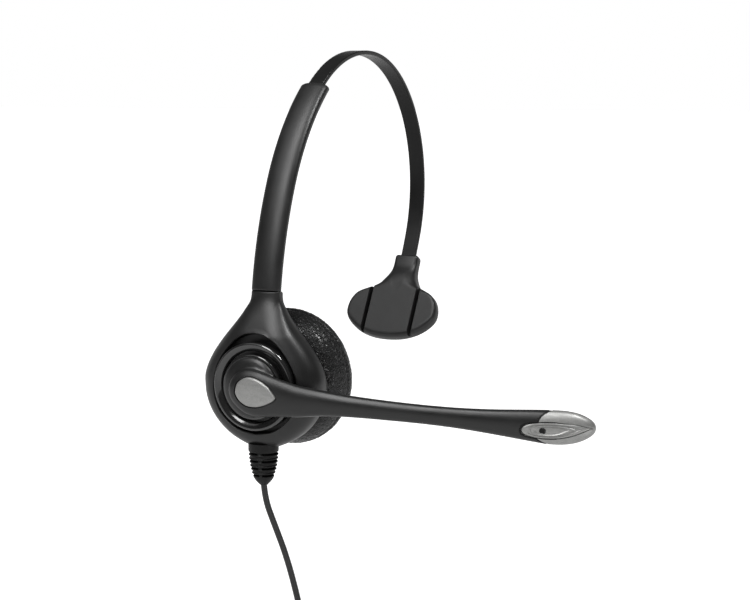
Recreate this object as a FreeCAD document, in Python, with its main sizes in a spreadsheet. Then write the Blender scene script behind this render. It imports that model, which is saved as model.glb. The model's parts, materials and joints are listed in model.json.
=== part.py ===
"""One-ear office headset as a parametric FreeCAD document.

Frame, in millimetres: the origin is the centre of the ear cushion's face. +X runs from the ear
piece across the head towards the temple pad, the wearer faces -Y, and +Z is up. The ear capsule,
its cushion, the yoke's ring and the boom's hub all lie on the X axis, so most round pieces are
turned about it and are given as (x, radius).
"""

import FreeCAD, Part
import math
import operator
import os
from types import SimpleNamespace

import Sketcher
from FreeCAD import Placement, Rotation, Vector

# ---------------------------------------------------------------- driving dimensions
SIZES = {
    # ear cushion and the capsule behind it
    "cushion_radius": 27.0,
    "cushion_hole": 11.0,
    "cushion_depth": 15.5,
    "cushion_back": 22.0,
    "capsule_radius": 20.6,
    "capsule_wall": 1.5,
    "capsule_open": 12.4,
    "capsule_front": 27.5,
    "boss_radius": 13.2,
    "boss_front": 31.2,
    # turret ring and boom hub on the capsule's front
    "turret_radius": 16.6,
    "turret_front": 34.3,
    "hub_radius": 12.2,
    "hub_front": 34.8,
    "shaft_radius": 4.0,
    "shaft_play": 0.06,
    "shaft_end": 22.2,
    "wire_bore": 1.6,
    # yoke ring, its pivot and its stem
    "yoke_radius": 24.2,
    "yoke_front": 32.6,
    "yoke_back": 20.5,
    "yoke_opening": 18.5,
    "yoke_cavity": 22.4,
    "pivot_depth": 23.5,
    "pin_radius": 1.2,
    "pin_play": 0.05,
    # headband: strip and sleeve sections, and the five arcs of its centre line
    "strip_width": 6.8,
    "strip_thickness": 1.7,
    "strip_play": 0.12,
    "sleeve_width": 12.0,
    "sleeve_thickness": 4.4,
    "sleeve_corner": 1.6,
    "chamber_width": 8.0,
    "chamber_depth": 2.6,
    "low_sleeve_radius": 147.0,
    "low_sleeve_turn": 16.5,
    "top_sleeve_radius": 100.2,
    "top_sleeve_turn": 26.6,
    "crown_radius": 66.2,
    "crown_turn": 44.8,
    "side_radius": 56.8,
    "side_turn": 107.9,
    "end_radius": 201.0,
    "end_turn": 5.8,
    "slide_turn": 14.0,
    # temple pad
    "pad_backing": 1.4,
    "pad_rubber": 3.7,
    "pad_groove": 1.7,
    # boom
    "boom_root": 10.8,
    "boom_outer": 41.2,
    "lead_radius": 0.9,
    "mic_radius": 3.0,
    # strain relief, cord, its coil and its plug
    "relief_radius": 5.8,
    "relief_tip": 3.6,
    "relief_slot": 0.8,
    "cord_radius": 1.2,
    "coil_radius": 13.5,
    "coil_bundle": 4.0,
    "plug_width": 11.5,
    "plug_depth": 7.6,
    "plug_length": 32.0,
}

OPERATION = {"+": operator.add, "-": operator.sub, "*": operator.mul, "/": operator.truediv}


class Size:
    """A length or angle that remembers the sheet formula it comes from."""

    def __init__(self, value, formula):
        self.value = float(value)
        self.formula = formula

    def __add__(self, other):
        return combined(self, "+", other)

    def __radd__(self, other):
        return combined(other, "+", self)

    def __sub__(self, other):
        return combined(self, "-", other)

    def __rsub__(self, other):
        return combined(other, "-", self)

    def __mul__(self, other):
        return combined(self, "*", other)

    def __rmul__(self, other):
        return combined(other, "*", self)

    def __truediv__(self, other):
        return combined(self, "/", other)

    def __neg__(self):
        return combined(0, "-", self)

    def __float__(self):
        return self.value


def as_size(number):
    return number if isinstance(number, Size) else Size(number, f"({float(number)})")


def combined(left, sign, right):
    left = as_size(left)
    right = as_size(right)
    value = OPERATION[sign](left.value, right.value)
    return Size(value, f"({left.formula} {sign} {right.formula})")


doc = FreeCAD.newDocument("office_headset")
sheet = doc.addObject("Spreadsheet::Sheet", "sheet")
for row, (alias, number) in enumerate(SIZES.items(), start=1):
    sheet.set(f"A{row}", str(number))
    sheet.setAlias(f"A{row}", alias)
doc.recompute()
dim = SimpleNamespace(**{alias: Size(sheet.get(alias), f"sheet.{alias}") for alias in SIZES})

X_AXIS = Vector(1, 0, 0)
Y_AXIS = Vector(0, 1, 0)
Z_AXIS = Vector(0, 0, 1)
NODES = []

# A cylinder's own axis is Z; these turn it onto each axis of the frame.
TURNED_TO = {"x": Rotation(Y_AXIS, 90), "y": Rotation(X_AXIS, -90), "z": Rotation()}
AXIS_ORDER = {"x": "xyz", "y": "yxz", "z": "zxy"}


# ---------------------------------------------------------------- building blocks
def bind(thing, path, size):
    """Ties one property to the sheet."""
    thing.setExpression(path, as_size(size).formula)


def node(part):
    """Marks a finished sub-part, whose Label names its file."""
    NODES.append(part)
    return part


def rod(name, axis, start, end, radius, across=(0, 0)):
    """A round bar along one axis, from start to end, at the other two coordinates."""
    part = doc.addObject("Part::Cylinder", name)
    part.Placement = Placement(Vector(), TURNED_TO[axis])
    bind(part, "Radius", radius)
    bind(part, "Height", as_size(end) - start)
    for letter, size in zip(AXIS_ORDER[axis], (start, *across)):
        bind(part, f"Placement.Base.{letter}", size)
    return part


def block(name, low, high):
    """A box between two corners."""
    part = doc.addObject("Part::Box", name)
    for side, letter, start, end in zip(("Length", "Width", "Height"), "xyz", low, high):
        bind(part, side, as_size(end) - start)
        bind(part, f"Placement.Base.{letter}", start)
    return part


def cut(name, base, *tools):
    """The base with the tools taken out of it."""
    part = doc.addObject("Part::Cut", name)
    part.Base = base
    part.Tool = tools[0] if len(tools) == 1 else fused(f"{name}_tools", *tools)
    return part


def common(name, base, tool):
    part = doc.addObject("Part::Common", name)
    part.Base = base
    part.Tool = tool
    return part


def fused(name, *parts):
    part = doc.addObject("Part::MultiFuse", name)
    part.Shapes = list(parts)
    part.Refine = True
    return part


def group(name, *parts):
    """Several separate solids that share one node."""
    part = doc.addObject("Part::Compound", name)
    part.Links = list(parts)
    return part


def rounded(name, base, radius, wanted):
    """Rounds the edges of the base for which wanted(edge) is true."""
    doc.recompute()
    part = doc.addObject("Part::Fillet", name)
    part.Base = base
    radius = float(radius)
    numbers = [i for i, edge in enumerate(base.Shape.Edges, start=1) if wanted(edge)]
    part.Edges = [(number, radius, radius) for number in numbers]
    return part


def own_plane(body, role):
    """The origin plane of a body that has this role, such as XY_Plane."""
    return next(f for f in body.Origin.OriginFeatures if f.Role == role)


def outline(body, name, corners, plane="XY_Plane", height=0):
    """A closed sketch of straight sides, each corner tied to the sheet by its two coordinates."""
    sketch = body.newObject("Sketcher::SketchObject", name)
    sketch.AttachmentSupport = [(own_plane(body, plane), "")]
    sketch.MapMode = "FlatFace"
    bind(sketch, "AttachmentOffset.Base.z", height)
    points = [Vector(float(a), float(b), 0) for a, b in corners]
    for start, end in zip(points, points[1:] + points[:1]):
        sketch.addGeometry(Part.LineSegment(start, end))
    for index, corner in enumerate(corners):
        before = index - 1 if index else len(corners) - 1
        sketch.addConstraint(Sketcher.Constraint("Coincident", before, 2, index, 1))
        for kind, size in zip(("DistanceX", "DistanceY"), corner):
            number = sketch.addConstraint(Sketcher.Constraint(kind, -1, 1, index, 1, float(size)))
            bind(sketch, f"Constraints[{number}]", size)
    return sketch


def turned(name, corners, plane="XY_Plane", axis="H_Axis"):
    """A body turned about an axis: (x, radius) corners about X, or (radius, z) ones about Z."""
    body = doc.addObject("PartDesign::Body", name)
    sketch = outline(body, f"{name}_profile", corners, plane)
    spin = body.newObject("PartDesign::Revolution", f"{name}_turn")
    spin.Profile = sketch
    spin.ReferenceAxis = (sketch, [axis])
    spin.Angle = 360
    sketch.Visibility = False
    return body


def turned_z(name, corners):
    return turned(name, corners, "XZ_Plane", "V_Axis")


def disc(name, back, front, radius, hole):
    """A flat ring about the X axis between two x positions."""
    return turned(name, [(back, hole), (front, hole), (front, radius), (back, radius)])


def rounded_route(points):
    """Straight runs joined by tangent arcs, each as large as its two runs allow, with the arcs' radii."""
    edges = []
    radii = []
    here = points[0]
    for before, corner, after in zip(points, points[1:], points[2:]):
        arrive = (corner - before).normalize()
        leave = (after - corner).normalize()
        half_turn = arrive.getAngle(leave) / 2
        reach = 0.45 * min((corner - before).Length, (after - corner).Length)
        radius = reach / math.tan(half_turn)
        start = corner - arrive * reach
        end = corner + leave * reach
        inward = (leave - arrive).normalize()
        middle = corner + inward * (radius / math.cos(half_turn) - radius)
        edges.append(Part.LineSegment(here, start).toShape())
        edges.append(Part.Arc(start, middle, end).toShape())
        radii.append(radius)
        here = end
    edges.append(Part.LineSegment(here, points[-1]).toShape())
    return Part.Wire(edges), radii


def tube(name, points, radius):
    """A round tube along a route of points, as one solid."""
    route = [Vector(*point) for point in points]
    path, radii = rounded_route(route)
    section = Part.Wire(Part.makeCircle(float(radius), route[0], route[1] - route[0]))
    part = doc.addObject("Part::Feature", name)
    part.Shape = path.makePipeShell([section], True, True)
    expected = math.pi * float(radius) ** 2 * path.Length
    print(f"{name}: length {path.Length:.1f}, volume {part.Shape.Volume:.1f} of {expected:.1f},",
          "radii", " ".join(f"{r:.1f}" for r in radii))
    return part


# ---------------------------------------------------------------- headband centre line
def headband_arcs():
    """The five tangent arcs in the XZ plane, from the seam above the yoke to the temple pad's socket.

    A heading is measured from +Z towards +X, so that an arc's centre lies to the right of its path.
    """
    spans = [
        (dim.low_sleeve_radius, dim.low_sleeve_turn),
        (dim.top_sleeve_radius, dim.top_sleeve_turn),
        (dim.crown_radius, dim.crown_turn),
        (dim.side_radius, dim.side_turn),
        (dim.end_radius, dim.end_turn),
    ]
    here = Vector(-23.0, 0, 35.2)
    heading = 8.6
    arcs = []
    for radius, turn in spans:
        centre = here - outward(heading) * float(radius)
        arcs.append(SimpleNamespace(centre=centre, radius=radius, turn=turn, heading=heading))
        heading += float(turn)
        here = centre + outward(heading) * float(radius)
    return arcs


def outward(heading):
    """The direction that points away from an arc's centre at this heading."""
    angle = math.radians(heading)
    return Vector(-math.cos(angle), 0, math.sin(angle))


def onward(heading):
    """The direction of travel at this heading."""
    angle = math.radians(heading)
    return Vector(math.sin(angle), 0, math.cos(angle))


def sector(name, arc, inner, outer, width, skip=0, turn=None):
    """A curved bar of rectangular section that follows one arc of the headband.

    inner and outer are distances from the arc's centre line, skip the angle left out at its start.
    """
    turn = arc.turn - skip if turn is None else turn
    heading = arc.heading + float(skip)
    rotation = Rotation(outward(heading), onward(heading), Y_AXIS, "ZXY")
    layers = []
    limits = (("outer", arc.radius + outer, width), ("inner", arc.radius + inner, width * 1.1))
    for label, radius, height in limits:
        layer = doc.addObject("Part::Cylinder", f"{name}_{label}")
        layer.Placement = Placement(arc.centre, rotation)
        bind(layer, "Radius", radius)
        bind(layer, "Height", height)
        bind(layer, "Placement.Base.y", height / -2)
        layers.append(layer)
    bind(layers[0], "Angle", turn)
    return cut(name, layers[0], layers[1])


LOW_SLEEVE, TOP_SLEEVE, CROWN, SIDE, END = headband_arcs()


# ---------------------------------------------------------------- ear piece
def make_cushion():
    """Leatherette ring with a flat face at x = 0 and a skirt that wraps the capsule's rim."""
    skirt = dim.capsule_radius + 0.25
    node(turned("ear_cushion", [
        (-dim.cushion_depth, skirt),
        (-dim.cushion_depth, dim.cushion_back),
        (-dim.cushion_depth + 3, dim.cushion_back + 2.6),
        (-9, dim.cushion_radius - 0.8),
        (-6.5, dim.cushion_radius),
        (-3.5, dim.cushion_radius),
        (-1, dim.cushion_radius - 1.8),
        (0, dim.cushion_radius - 4.5),
        (0, dim.cushion_hole + 3.5),
        (-1.5, dim.cushion_hole + 1),
        (-4.5, dim.cushion_hole),
        (-10.9, dim.cushion_hole),
        (-10.9, skirt),
    ]))


def make_capsule_front():
    """Pieces between the cushion and the loudspeaker: ring, cloth, grille and its screws."""
    rim = -dim.capsule_open
    node(disc("cushion_ring", rim, rim + 1.3, dim.capsule_radius, 16.0))
    node(disc("scrim_cloth", rim + 0.6, rim + 1.0, 15.8, 0))
    plate = rod("grille_plate", "x", rim - 1.5, rim, dim.capsule_radius - dim.capsule_wall - 0.1)
    holes = [rod("grille_hole", "x", rim - 2, rim + 1, 0.9)]
    for ring, count in ((3.6, 6), (7.2, 12), (10.8, 18)):
        for step in range(count):
            angle = 2 * math.pi * step / count
            place = (ring * math.cos(angle), ring * math.sin(angle))
            holes.append(rod("grille_hole", "x", rim - 2, rim + 1, 0.9, place))
    screws = []
    screw_holes = []
    for place in screw_places():
        shank = rod("screw_shank", "x", rim - 6, rim - 0.5, 0.7, place)
        head = rod("screw_head", "x", rim - 0.6, rim - 0.1, 1.3, place)
        screws.append(fused("grille_screw", shank, head))
        screw_holes.append(rod("screw_seat", "x", rim - 0.7, rim + 1, 1.4, place))
        screw_holes.append(rod("screw_hole", "x", rim - 2, rim, 0.8, place))
    node(cut("speaker_grille", plate, *holes, *screw_holes))
    node(group("grille_screws", *screws))


def screw_places():
    """Where the three grille screws stand, as (y, z)."""
    angles = [math.radians(a) for a in (90, 210, 330)]
    return [(16.8 * math.cos(a), 16.8 * math.sin(a)) for a in angles]


def make_capsule_shell():
    """Cup for the loudspeaker, with a boss for the turret ring and a bearing for the boom's shaft."""
    inner = dim.capsule_radius - dim.capsule_wall
    wall = -dim.capsule_front + 1.6
    bearing = dim.shaft_radius + dim.shaft_play
    cup = turned("capsule_cup", [
        (-dim.capsule_open, inner),
        (-dim.capsule_open, dim.capsule_radius),
        (-dim.capsule_front + 1.5, dim.capsule_radius),
        (-dim.capsule_front, dim.capsule_radius - 1.4),
        (-dim.capsule_front, dim.boss_radius),
        (-dim.boss_front, dim.boss_radius),
        (-dim.boss_front, bearing),
        (-23.8, bearing),
        (-23.8, 6.2),
        (wall, 6.2),
        (wall, inner - 1.5),
        (wall + 1.5, inner),
    ])
    pegs = [rod("stop_peg", "x", -dim.boss_front - 1.1, -dim.boss_front + 0.5, 1.0, (0, 9.0))]
    for place in screw_places():
        pegs.append(rod("screw_pillar", "x", wall - 0.5, -dim.capsule_open - 1.55, 1.7, place))
    body = fused("capsule_solid", cup, *pegs)
    bores = []
    for place in screw_places():
        bores.append(rod("pillar_bore", "x", -dim.capsule_open - 7, -dim.capsule_open, 0.72, place))
    for side in (-1, 1):
        reach = sorted((side * 17.0, side * 22.0))
        bores.append(rod("pivot_bore", "y", *reach, dim.pin_radius + dim.pin_play, (-dim.pivot_depth, 0)))
    bores.append(rod("lead_hole", "z", -22, -17, 1.5, (-19.0, 0)))
    node(cut("capsule_shell", body, *bores))


def make_loudspeaker():
    front = -dim.capsule_open - 1.6
    node(turned("speaker_frame", [
        (front, 12.6),
        (front, 14.2),
        (front - 1.6, 14.2),
        (front - 4.8, 9.6),
        (front - 4.8, 7.4),
        (front - 4.0, 7.4),
        (front - 4.0, 9.0),
        (front - 1.2, 12.6),
    ]))
    node(turned("speaker_magnet", [
        (front - 7.6, 0),
        (front - 7.6, 7.3),
        (front - 4.8, 7.3),
        (front - 4.8, 4.0),
        (front - 3.8, 4.0),
        (front - 3.8, 0),
    ]))
    node(turned("speaker_diaphragm", [
        (front - 0.2, 12.5),
        (front - 0.5, 12.5),
        (front - 3.1, 4.5),
        (front - 2.2, 0),
        (front - 1.9, 0),
        (front - 2.8, 4.7),
    ]))


def make_turret():
    """Glossy ring around the boom's hub, and the washer that presses the hub's shaft home."""
    inner = dim.boss_radius + 0.1
    node(turned("turret_ring", [
        (-dim.capsule_front - 0.05, inner),
        (-dim.capsule_front - 0.05, dim.turret_radius),
        (-dim.turret_front + 1.9, dim.turret_radius),
        (-dim.turret_front + 0.6, dim.turret_radius - 0.6),
        (-dim.turret_front, dim.turret_radius - 1.7),
        (-dim.turret_front + 0.3, dim.turret_radius - 2.7),
        (-dim.turret_front + 1.0, inner),
    ]))
    node(disc("boom_spring_washer", -23.75, -23.05, 5.9, dim.shaft_radius + 0.2))


# ---------------------------------------------------------------- boom
BOOM_TO_TIP = [
    # (y, x, z, half height, half thickness) of the boom's oval section
    (-2, -38.1, -1.4, 9.8, 3.0),
    (-12, -38.2, -2.3, 7.5, 3.1),
    (-22, -38.1, -3.1, 5.9, 3.0),
    (-32, -37.3, -3.2, 4.6, 2.9),
    (-42, -36.0, -3.7, 3.9, 2.8),
    (-56, -33.7, -4.5, 3.6, 2.7),
    (-70, -31.0, -5.3, 3.5, 2.7),
    (-82, -28.2, -6.1, 3.8, 2.8),
    (-93, -25.3, -6.9, 4.5, 3.1),
    (-103, -22.4, -7.6, 5.4, 3.5),
    (-108.5, -20.7, -8.0, 5.9, 3.8),
]
MIC_TIP = [
    (-108.5, -20.7, -8.0, 5.9, 3.8),
    (-113, -19.3, -8.3, 6.2, 4.0),
    (-118, -17.7, -8.4, 6.2, 4.0),
    (-122.5, -16.3, -8.4, 5.4, 3.6),
    (-126.2, -15.1, -8.4, 3.4, 2.6),
    (-128.3, -14.4, -8.4, 1.1, 1.0),
]
MIC_CENTRE = Vector(-17.9, -117.5, -8.4)


def oval_loft(name, stations):
    """A solid through upright oval sections, one per station."""
    upright = Rotation(Z_AXIS, X_AXIS, Y_AXIS, "ZXY")
    sections = []
    for along, across, height, half_height, half_thickness in stations:
        oval = doc.addObject("Part::Ellipse", f"{name}_section")
        oval.MajorRadius = half_height
        oval.MinorRadius = half_thickness
        oval.Placement = Placement(Vector(across, along, height), upright)
        sections.append(oval)
    loft = doc.addObject("Part::Loft", name)
    loft.Sections = sections
    loft.Solid = True
    return loft


def boom_lead_route():
    """The wires' way: along the shaft's bore, round into the arm and down its middle."""
    route = [(-26, 0, 0), (-38.0, 0, -0.5)]
    return route + [(x, y, z) for y, x, z, _, _ in BOOM_TO_TIP[1::2]]


def drop_insert(name, front, back, length, half_height):
    """Drop-shaped plug: a round end towards the pivot that narrows to a point along the arm."""
    body = doc.addObject("PartDesign::Body", name)
    sketch = body.newObject("Sketcher::SketchObject", f"{name}_shape")
    sketch.AttachmentSupport = [(own_plane(body, "YZ_Plane"), "")]
    sketch.MapMode = "FlatFace"
    bind(sketch, "AttachmentOffset.Base.z", back)
    round_end = Vector(0, half_height, 0)
    round_low = Vector(0, -half_height, 0)
    nose = Vector(-length, -0.8, 0)
    upper = Vector(-length * 0.52, half_height * 0.72, 0)
    lower = Vector(-length * 0.52, -half_height * 0.86, 0)
    sketch.addGeometry(Part.Arc(round_low, Vector(half_height * 0.95, 0, 0), round_end))
    sketch.addGeometry(Part.Arc(round_end, upper, nose))
    sketch.addGeometry(Part.Arc(nose, lower, round_low))
    pad = body.newObject("PartDesign::Pad", f"{name}_pad")
    pad.Profile = sketch
    bind(pad, "Length", as_size(back) - front)
    pad.Reversed = True
    body.Placement = Placement(Vector(0, -1.4, -0.6), Rotation())
    return body


def make_boom():
    dome = turned("boom_dome", [
        (-dim.hub_front - 0.1, 0),
        (-dim.hub_front - 0.1, dim.boom_root - 0.4),
        (-dim.hub_front - 1.6, dim.boom_root),
        (-dim.boom_outer + 2.2, dim.boom_root - 0.9),
        (-dim.boom_outer + 0.7, dim.boom_root - 2.6),
        (-dim.boom_outer, dim.boom_root - 5.2),
        (-dim.boom_outer, 0),
    ])
    spigot = rod("boom_spigot", "x", -dim.hub_front - 0.5, -dim.hub_front + 0.9, 7.9)
    arm = oval_loft("boom_tube", BOOM_TO_TIP)
    channel = tube("boom_channel", boom_lead_route(), 1.15)
    node(tube("boom_lead", boom_lead_route(), dim.lead_radius))
    seat = drop_insert("insert_seat", -dim.boom_outer - 1, -dim.boom_outer + 1.4, 10.4, 5.45)
    node(cut("boom_arm", fused("boom_solid", dome, spigot, arm), channel, seat))
    node(drop_insert("boom_insert", -dim.boom_outer - 0.35, -dim.boom_outer + 1.35, 10.0, 5.2))


def make_hub():
    """Hub disc, hollow shaft and the clip that holds the shaft in the capsule."""
    spin = turned("hub_spin", [
        (-dim.hub_front, dim.wire_bore),
        (-dim.hub_front, dim.hub_radius - 0.6),
        (-dim.hub_front + 0.6, dim.hub_radius),
        (-dim.boss_front - 0.2, dim.hub_radius),
        (-dim.boss_front - 0.2, dim.shaft_radius),
        (-23.0, dim.shaft_radius),
        (-23.0, dim.shaft_radius - 0.8),
        (-22.5, dim.shaft_radius - 0.8),
        (-22.5, dim.shaft_radius),
        (-dim.shaft_end, dim.shaft_radius),
        (-dim.shaft_end, dim.wire_bore),
    ])
    recess = rod("hub_recess", "x", -dim.hub_front - 1, -dim.hub_front + 1.0, 8.0)
    node(cut("boom_hub", spin, recess, stop_groove()))
    clip = disc("clip_ring", -22.97, -22.53, 5.6, dim.shaft_radius - 0.75)
    gap = block("clip_gap", (-24, -0.9, -7), (-22, 0.9, 0))
    node(cut("hub_clip", clip, gap))


def stop_groove():
    """Arc groove in the hub's back. The capsule's peg runs in it and ends the boom's travel.

    The boom turns 70 degrees down and 200 degrees up and over, and the groove adds room for the peg.
    """
    body = doc.addObject("PartDesign::Body", "stop_groove")
    back = -dim.boss_front
    corners = [(back - 1.5, 7.8), (back + 0.5, 7.8), (back + 0.5, 10.2), (back - 1.5, 10.2)]
    sketch = outline(body, "groove_profile", corners)
    spin = body.newObject("PartDesign::Revolution", "groove_turn")
    spin.Profile = sketch
    spin.ReferenceAxis = (sketch, ["H_Axis"])
    spin.Angle = 288
    body.Placement = Placement(Vector(), Rotation(X_AXIS, 11))
    return body


def make_microphone():
    tip = oval_loft("tip_solid", MIC_TIP)
    centre = MIC_CENTRE
    place = (centre.y, centre.z)
    pocket = rod("mic_pocket", "x", centre.x - 1.6, centre.x + 1.9, dim.mic_radius + 0.7, place)
    port = rod("mic_port", "x", centre.x - 6, centre.x + 6, 0.8, place)
    slot = block("tip_slot", (-26, -125.0, -9.2), (-20.6, -106.0, -7.4))
    node(cut("mic_tip_cap", tip, pocket, port, slot))
    ridge = common("ridge_solid", oval_loft("ridge_skin", MIC_TIP),
                   block("ridge_zone", (-26, -124.9, -9.1), (-20.7, -108.6, -7.5)))
    node(cut("mic_port_insert", ridge, port))
    boot = rod("boot_outer", "x", centre.x - 1.5, centre.x + 1.8, dim.mic_radius + 0.6, place)
    bore = rod("boot_bore", "x", centre.x - 3, centre.x + 3, dim.mic_radius + 0.05, place)
    node(cut("mic_boot", boot, bore))
    node(rod("mic_capsule", "x", centre.x - 0.7, centre.x + 1.6, dim.mic_radius, place))
    node(rod("mic_windscreen", "x", centre.x - 1.5, centre.x - 0.75, dim.mic_radius, place))


# ---------------------------------------------------------------- yoke
def make_stem():
    """Flared stem between the yoke's ring and the sleeve, through four upright-stacked sections."""
    sections = [
        # (height, half width, front x, back x)
        (35.2, 6.0, -25.2, -20.8),
        (29.5, 6.6, -27.2, -20.5),
        (24.0, 8.4, -29.8, -20.5),
        (18.5, 12.2, -32.2, -20.5),
        (12.0, 17.0, -32.4, -20.5),
    ]
    body = doc.addObject("PartDesign::Body", "yoke_stem")
    sketches = []
    for height, half_width, front, back in sections:
        corners = [(front, -half_width), (back, -half_width), (back, half_width), (front, half_width)]
        sketches.append(outline(body, "stem_section", corners, height=height))
    loft = body.newObject("PartDesign::AdditiveLoft", "stem_loft")
    loft.Profile = sketches[0]
    loft.Sections = sketches[1:]
    return body


def make_yoke(relief):
    ring = turned("yoke_ring", [
        (-dim.yoke_back, 0),
        (-dim.yoke_back, dim.yoke_radius - 0.4),
        (-dim.yoke_back - 1, dim.yoke_radius),
        (-26.5, dim.yoke_radius - 0.2),
        (-29.4, dim.yoke_radius - 1.5),
        (-31.6, dim.yoke_radius - 3.2),
        (-dim.yoke_front, dim.yoke_radius - 4.9),
        (-dim.yoke_front, 0),
    ])
    above_seam = sector("above_seam", LOW_SLEEVE, -6, 6, dim.sleeve_width * 1.5, 0, 4)
    stem = cut("stem_to_seam", make_stem(), above_seam)
    tenon = sector("tenon", LOW_SLEEVE, -1.2, 1.2, as_size(7.8), -2, 6)
    solid = fused("yoke_solid", ring, stem, tenon)
    hollow = turned("yoke_hollow", [
        (-dim.yoke_front - 2, 0),
        (-dim.yoke_front - 2, dim.yoke_opening + 0.6),
        (-dim.yoke_front + 0.6, dim.yoke_opening),
        (-30.6, dim.yoke_opening),
        (-30.6, dim.yoke_cavity - 1.2),
        (-29.2, dim.yoke_cavity),
        (-dim.yoke_back + 2, dim.yoke_cavity),
        (-dim.yoke_back + 2, 0),
    ])
    pins = []
    for side in (-1, 1):
        reach = sorted((side * 19.4, side * 23.3))
        pins.append(rod("pivot_pin", "y", *reach, dim.pin_radius, (-dim.pivot_depth, 0)))
    pivot_pins = node(group("pivot_pins", *pins))
    screws = node(group("sleeve_screws", *[sleeve_screw(skip) for skip in SCREW_PLACES]))
    node(cut("yoke_shell", solid, hollow, pivot_pins, screws, relief))
    cover = disc("cover_ring", -dim.yoke_back - 1.3, -dim.yoke_back, dim.yoke_cavity - 0.05, 21.5)
    node(cover)
    cover.Label = "yoke_back_cover"


# How far round the sleeve's first arc its two screws sit, in degrees.
SCREW_PLACES = (1.2, 3.0)


def sleeve_screw(skip):
    """Small screw from the head side through the sleeve's liner into the yoke's tenon."""
    heading = LOW_SLEEVE.heading + skip
    on_line = LOW_SLEEVE.centre + outward(heading) * float(LOW_SLEEVE.radius)
    screw = doc.addObject("Part::Cylinder", "sleeve_screw")
    screw.Radius = 0.8
    screw.Height = 2.4
    screw.Placement = Placement(on_line - outward(heading) * 1.9, Rotation(Z_AXIS, outward(heading)))
    return screw


def make_sleeve():
    """Curved sleeve in two halves: the outer cover and the liner on the head side."""
    half = dim.sleeve_thickness / 2
    full = fused(
        "sleeve_full",
        sector("sleeve_low", LOW_SLEEVE, -half, half, dim.sleeve_width),
        sector("sleeve_top", TOP_SLEEVE, -half, half, dim.sleeve_width),
    )
    edge_place = float(dim.sleeve_width) / 2
    corner = dim.sleeve_corner
    shaped = rounded("sleeve_rounded", full, corner, lambda edge: is_long_side(edge, edge_place))
    deep = dim.chamber_depth / 2
    play = dim.strip_thickness / 2 + dim.strip_play
    lip_turn = 1.3
    to_lip = dim.top_sleeve_turn - lip_turn
    cavity = [
        sector("low_chamber", LOW_SLEEVE, -deep, deep, dim.chamber_width, -1, dim.low_sleeve_turn + 1),
        sector("top_chamber", TOP_SLEEVE, -deep, deep, dim.chamber_width, 0, to_lip),
        sector("mouth_slot", TOP_SLEEVE, -play, play, dim.strip_width + dim.strip_play * 2, 20, 8),
    ]
    seats = [sleeve_screw(skip) for skip in SCREW_PLACES]
    shell = cut("sleeve_shell", shaped, *cavity, *seats)
    outside = fused(
        "outside_zone",
        sector("outside_low", LOW_SLEEVE, 0, 6, dim.sleeve_width * 1.5, -2, dim.low_sleeve_turn + 2),
        sector("outside_top", TOP_SLEEVE, 0, 6, dim.sleeve_width * 1.5, 0, dim.top_sleeve_turn + 2),
    )
    node(common("headband_sleeve", shell, outside))
    node(cut("sleeve_liner", shell, outside))


def is_long_side(edge, half_width):
    """True for the curved edges along both flanks of a headband piece."""
    box = edge.BoundBox
    flat = box.YLength < 0.01
    return flat and abs(abs(box.YMin) - half_width) < 0.01 and edge.Length > 8


def make_strip():
    """Spring strip from its stop inside the sleeve over the crown to the temple pad."""
    half = dim.strip_thickness / 2
    hidden = dim.top_sleeve_turn - dim.slide_turn - 4.4
    spans = [
        sector("strip_hidden", TOP_SLEEVE, -half, half, dim.strip_width, hidden),
        sector("strip_crown", CROWN, -half, half, dim.strip_width),
        sector("strip_side", SIDE, -half, half, dim.strip_width),
        sector("strip_end", END, -half, half, dim.strip_width, 0, dim.end_turn),
    ]
    bar = fused("strip_bar", *spans)
    half_width = float(dim.strip_width) / 2
    strip = rounded("strip_rounded", bar, 0.4, lambda edge: is_long_side(edge, half_width))
    core = sector("stop_core", TOP_SLEEVE, -0.5, 0.5, dim.strip_width * 0.6, hidden - 1, 5)
    node(cut("headband_strip", strip, cut("strip_neck", stop_block("stop_zone", hidden), core)))
    node(cut("strip_stop", stop_block("strip_end_stop", hidden), core))


def stop_block(name, hidden):
    """The outer shape of the stop moulded round the strip's hidden end."""
    return sector(name, TOP_SLEEVE, -1.15, 1.15, dim.chamber_width - 0.4, hidden, 3)


# ---------------------------------------------------------------- temple pad
def pad_placement():
    """Local frame at the socket's mouth: +X down along the strip's end, +Z towards the head."""
    heading = 208.5
    along = onward(heading)
    towards_head = -outward(heading)
    mouth = END.centre + outward(END.heading + 1.8) * float(END.radius)
    return Placement(mouth, Rotation(along, towards_head.cross(along), towards_head, "ZXY"))


# Half of the pad's outline: distance down from the strip's end frame, and half width there.
PAD_NECK = [(12.5, 5.9), (16.0, 7.4), (19.5, 10.4), (22.3, 15.4)]
PAD_OVAL = [(25.1, 18.9), (28.4, 20.6), (31.8, 21.1), (35.5, 20.1), (39.5, 16.3), (42.6, 10.0)]
PAD_BOTTOM = 44.0
PAD_FLOOR = 1.9
SOCKET_START = 3.3
SOCKET_LENGTH = 13.7
SOCKET_HALF = 5.2
SOCKET_BACK = -2.0
SOCKET_HEIGHT = 4.6
SOCKET_CORNER = 1.4
GROOVE_ACROSS = 11.2
GROOVE_DEPTH = 2.6


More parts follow.
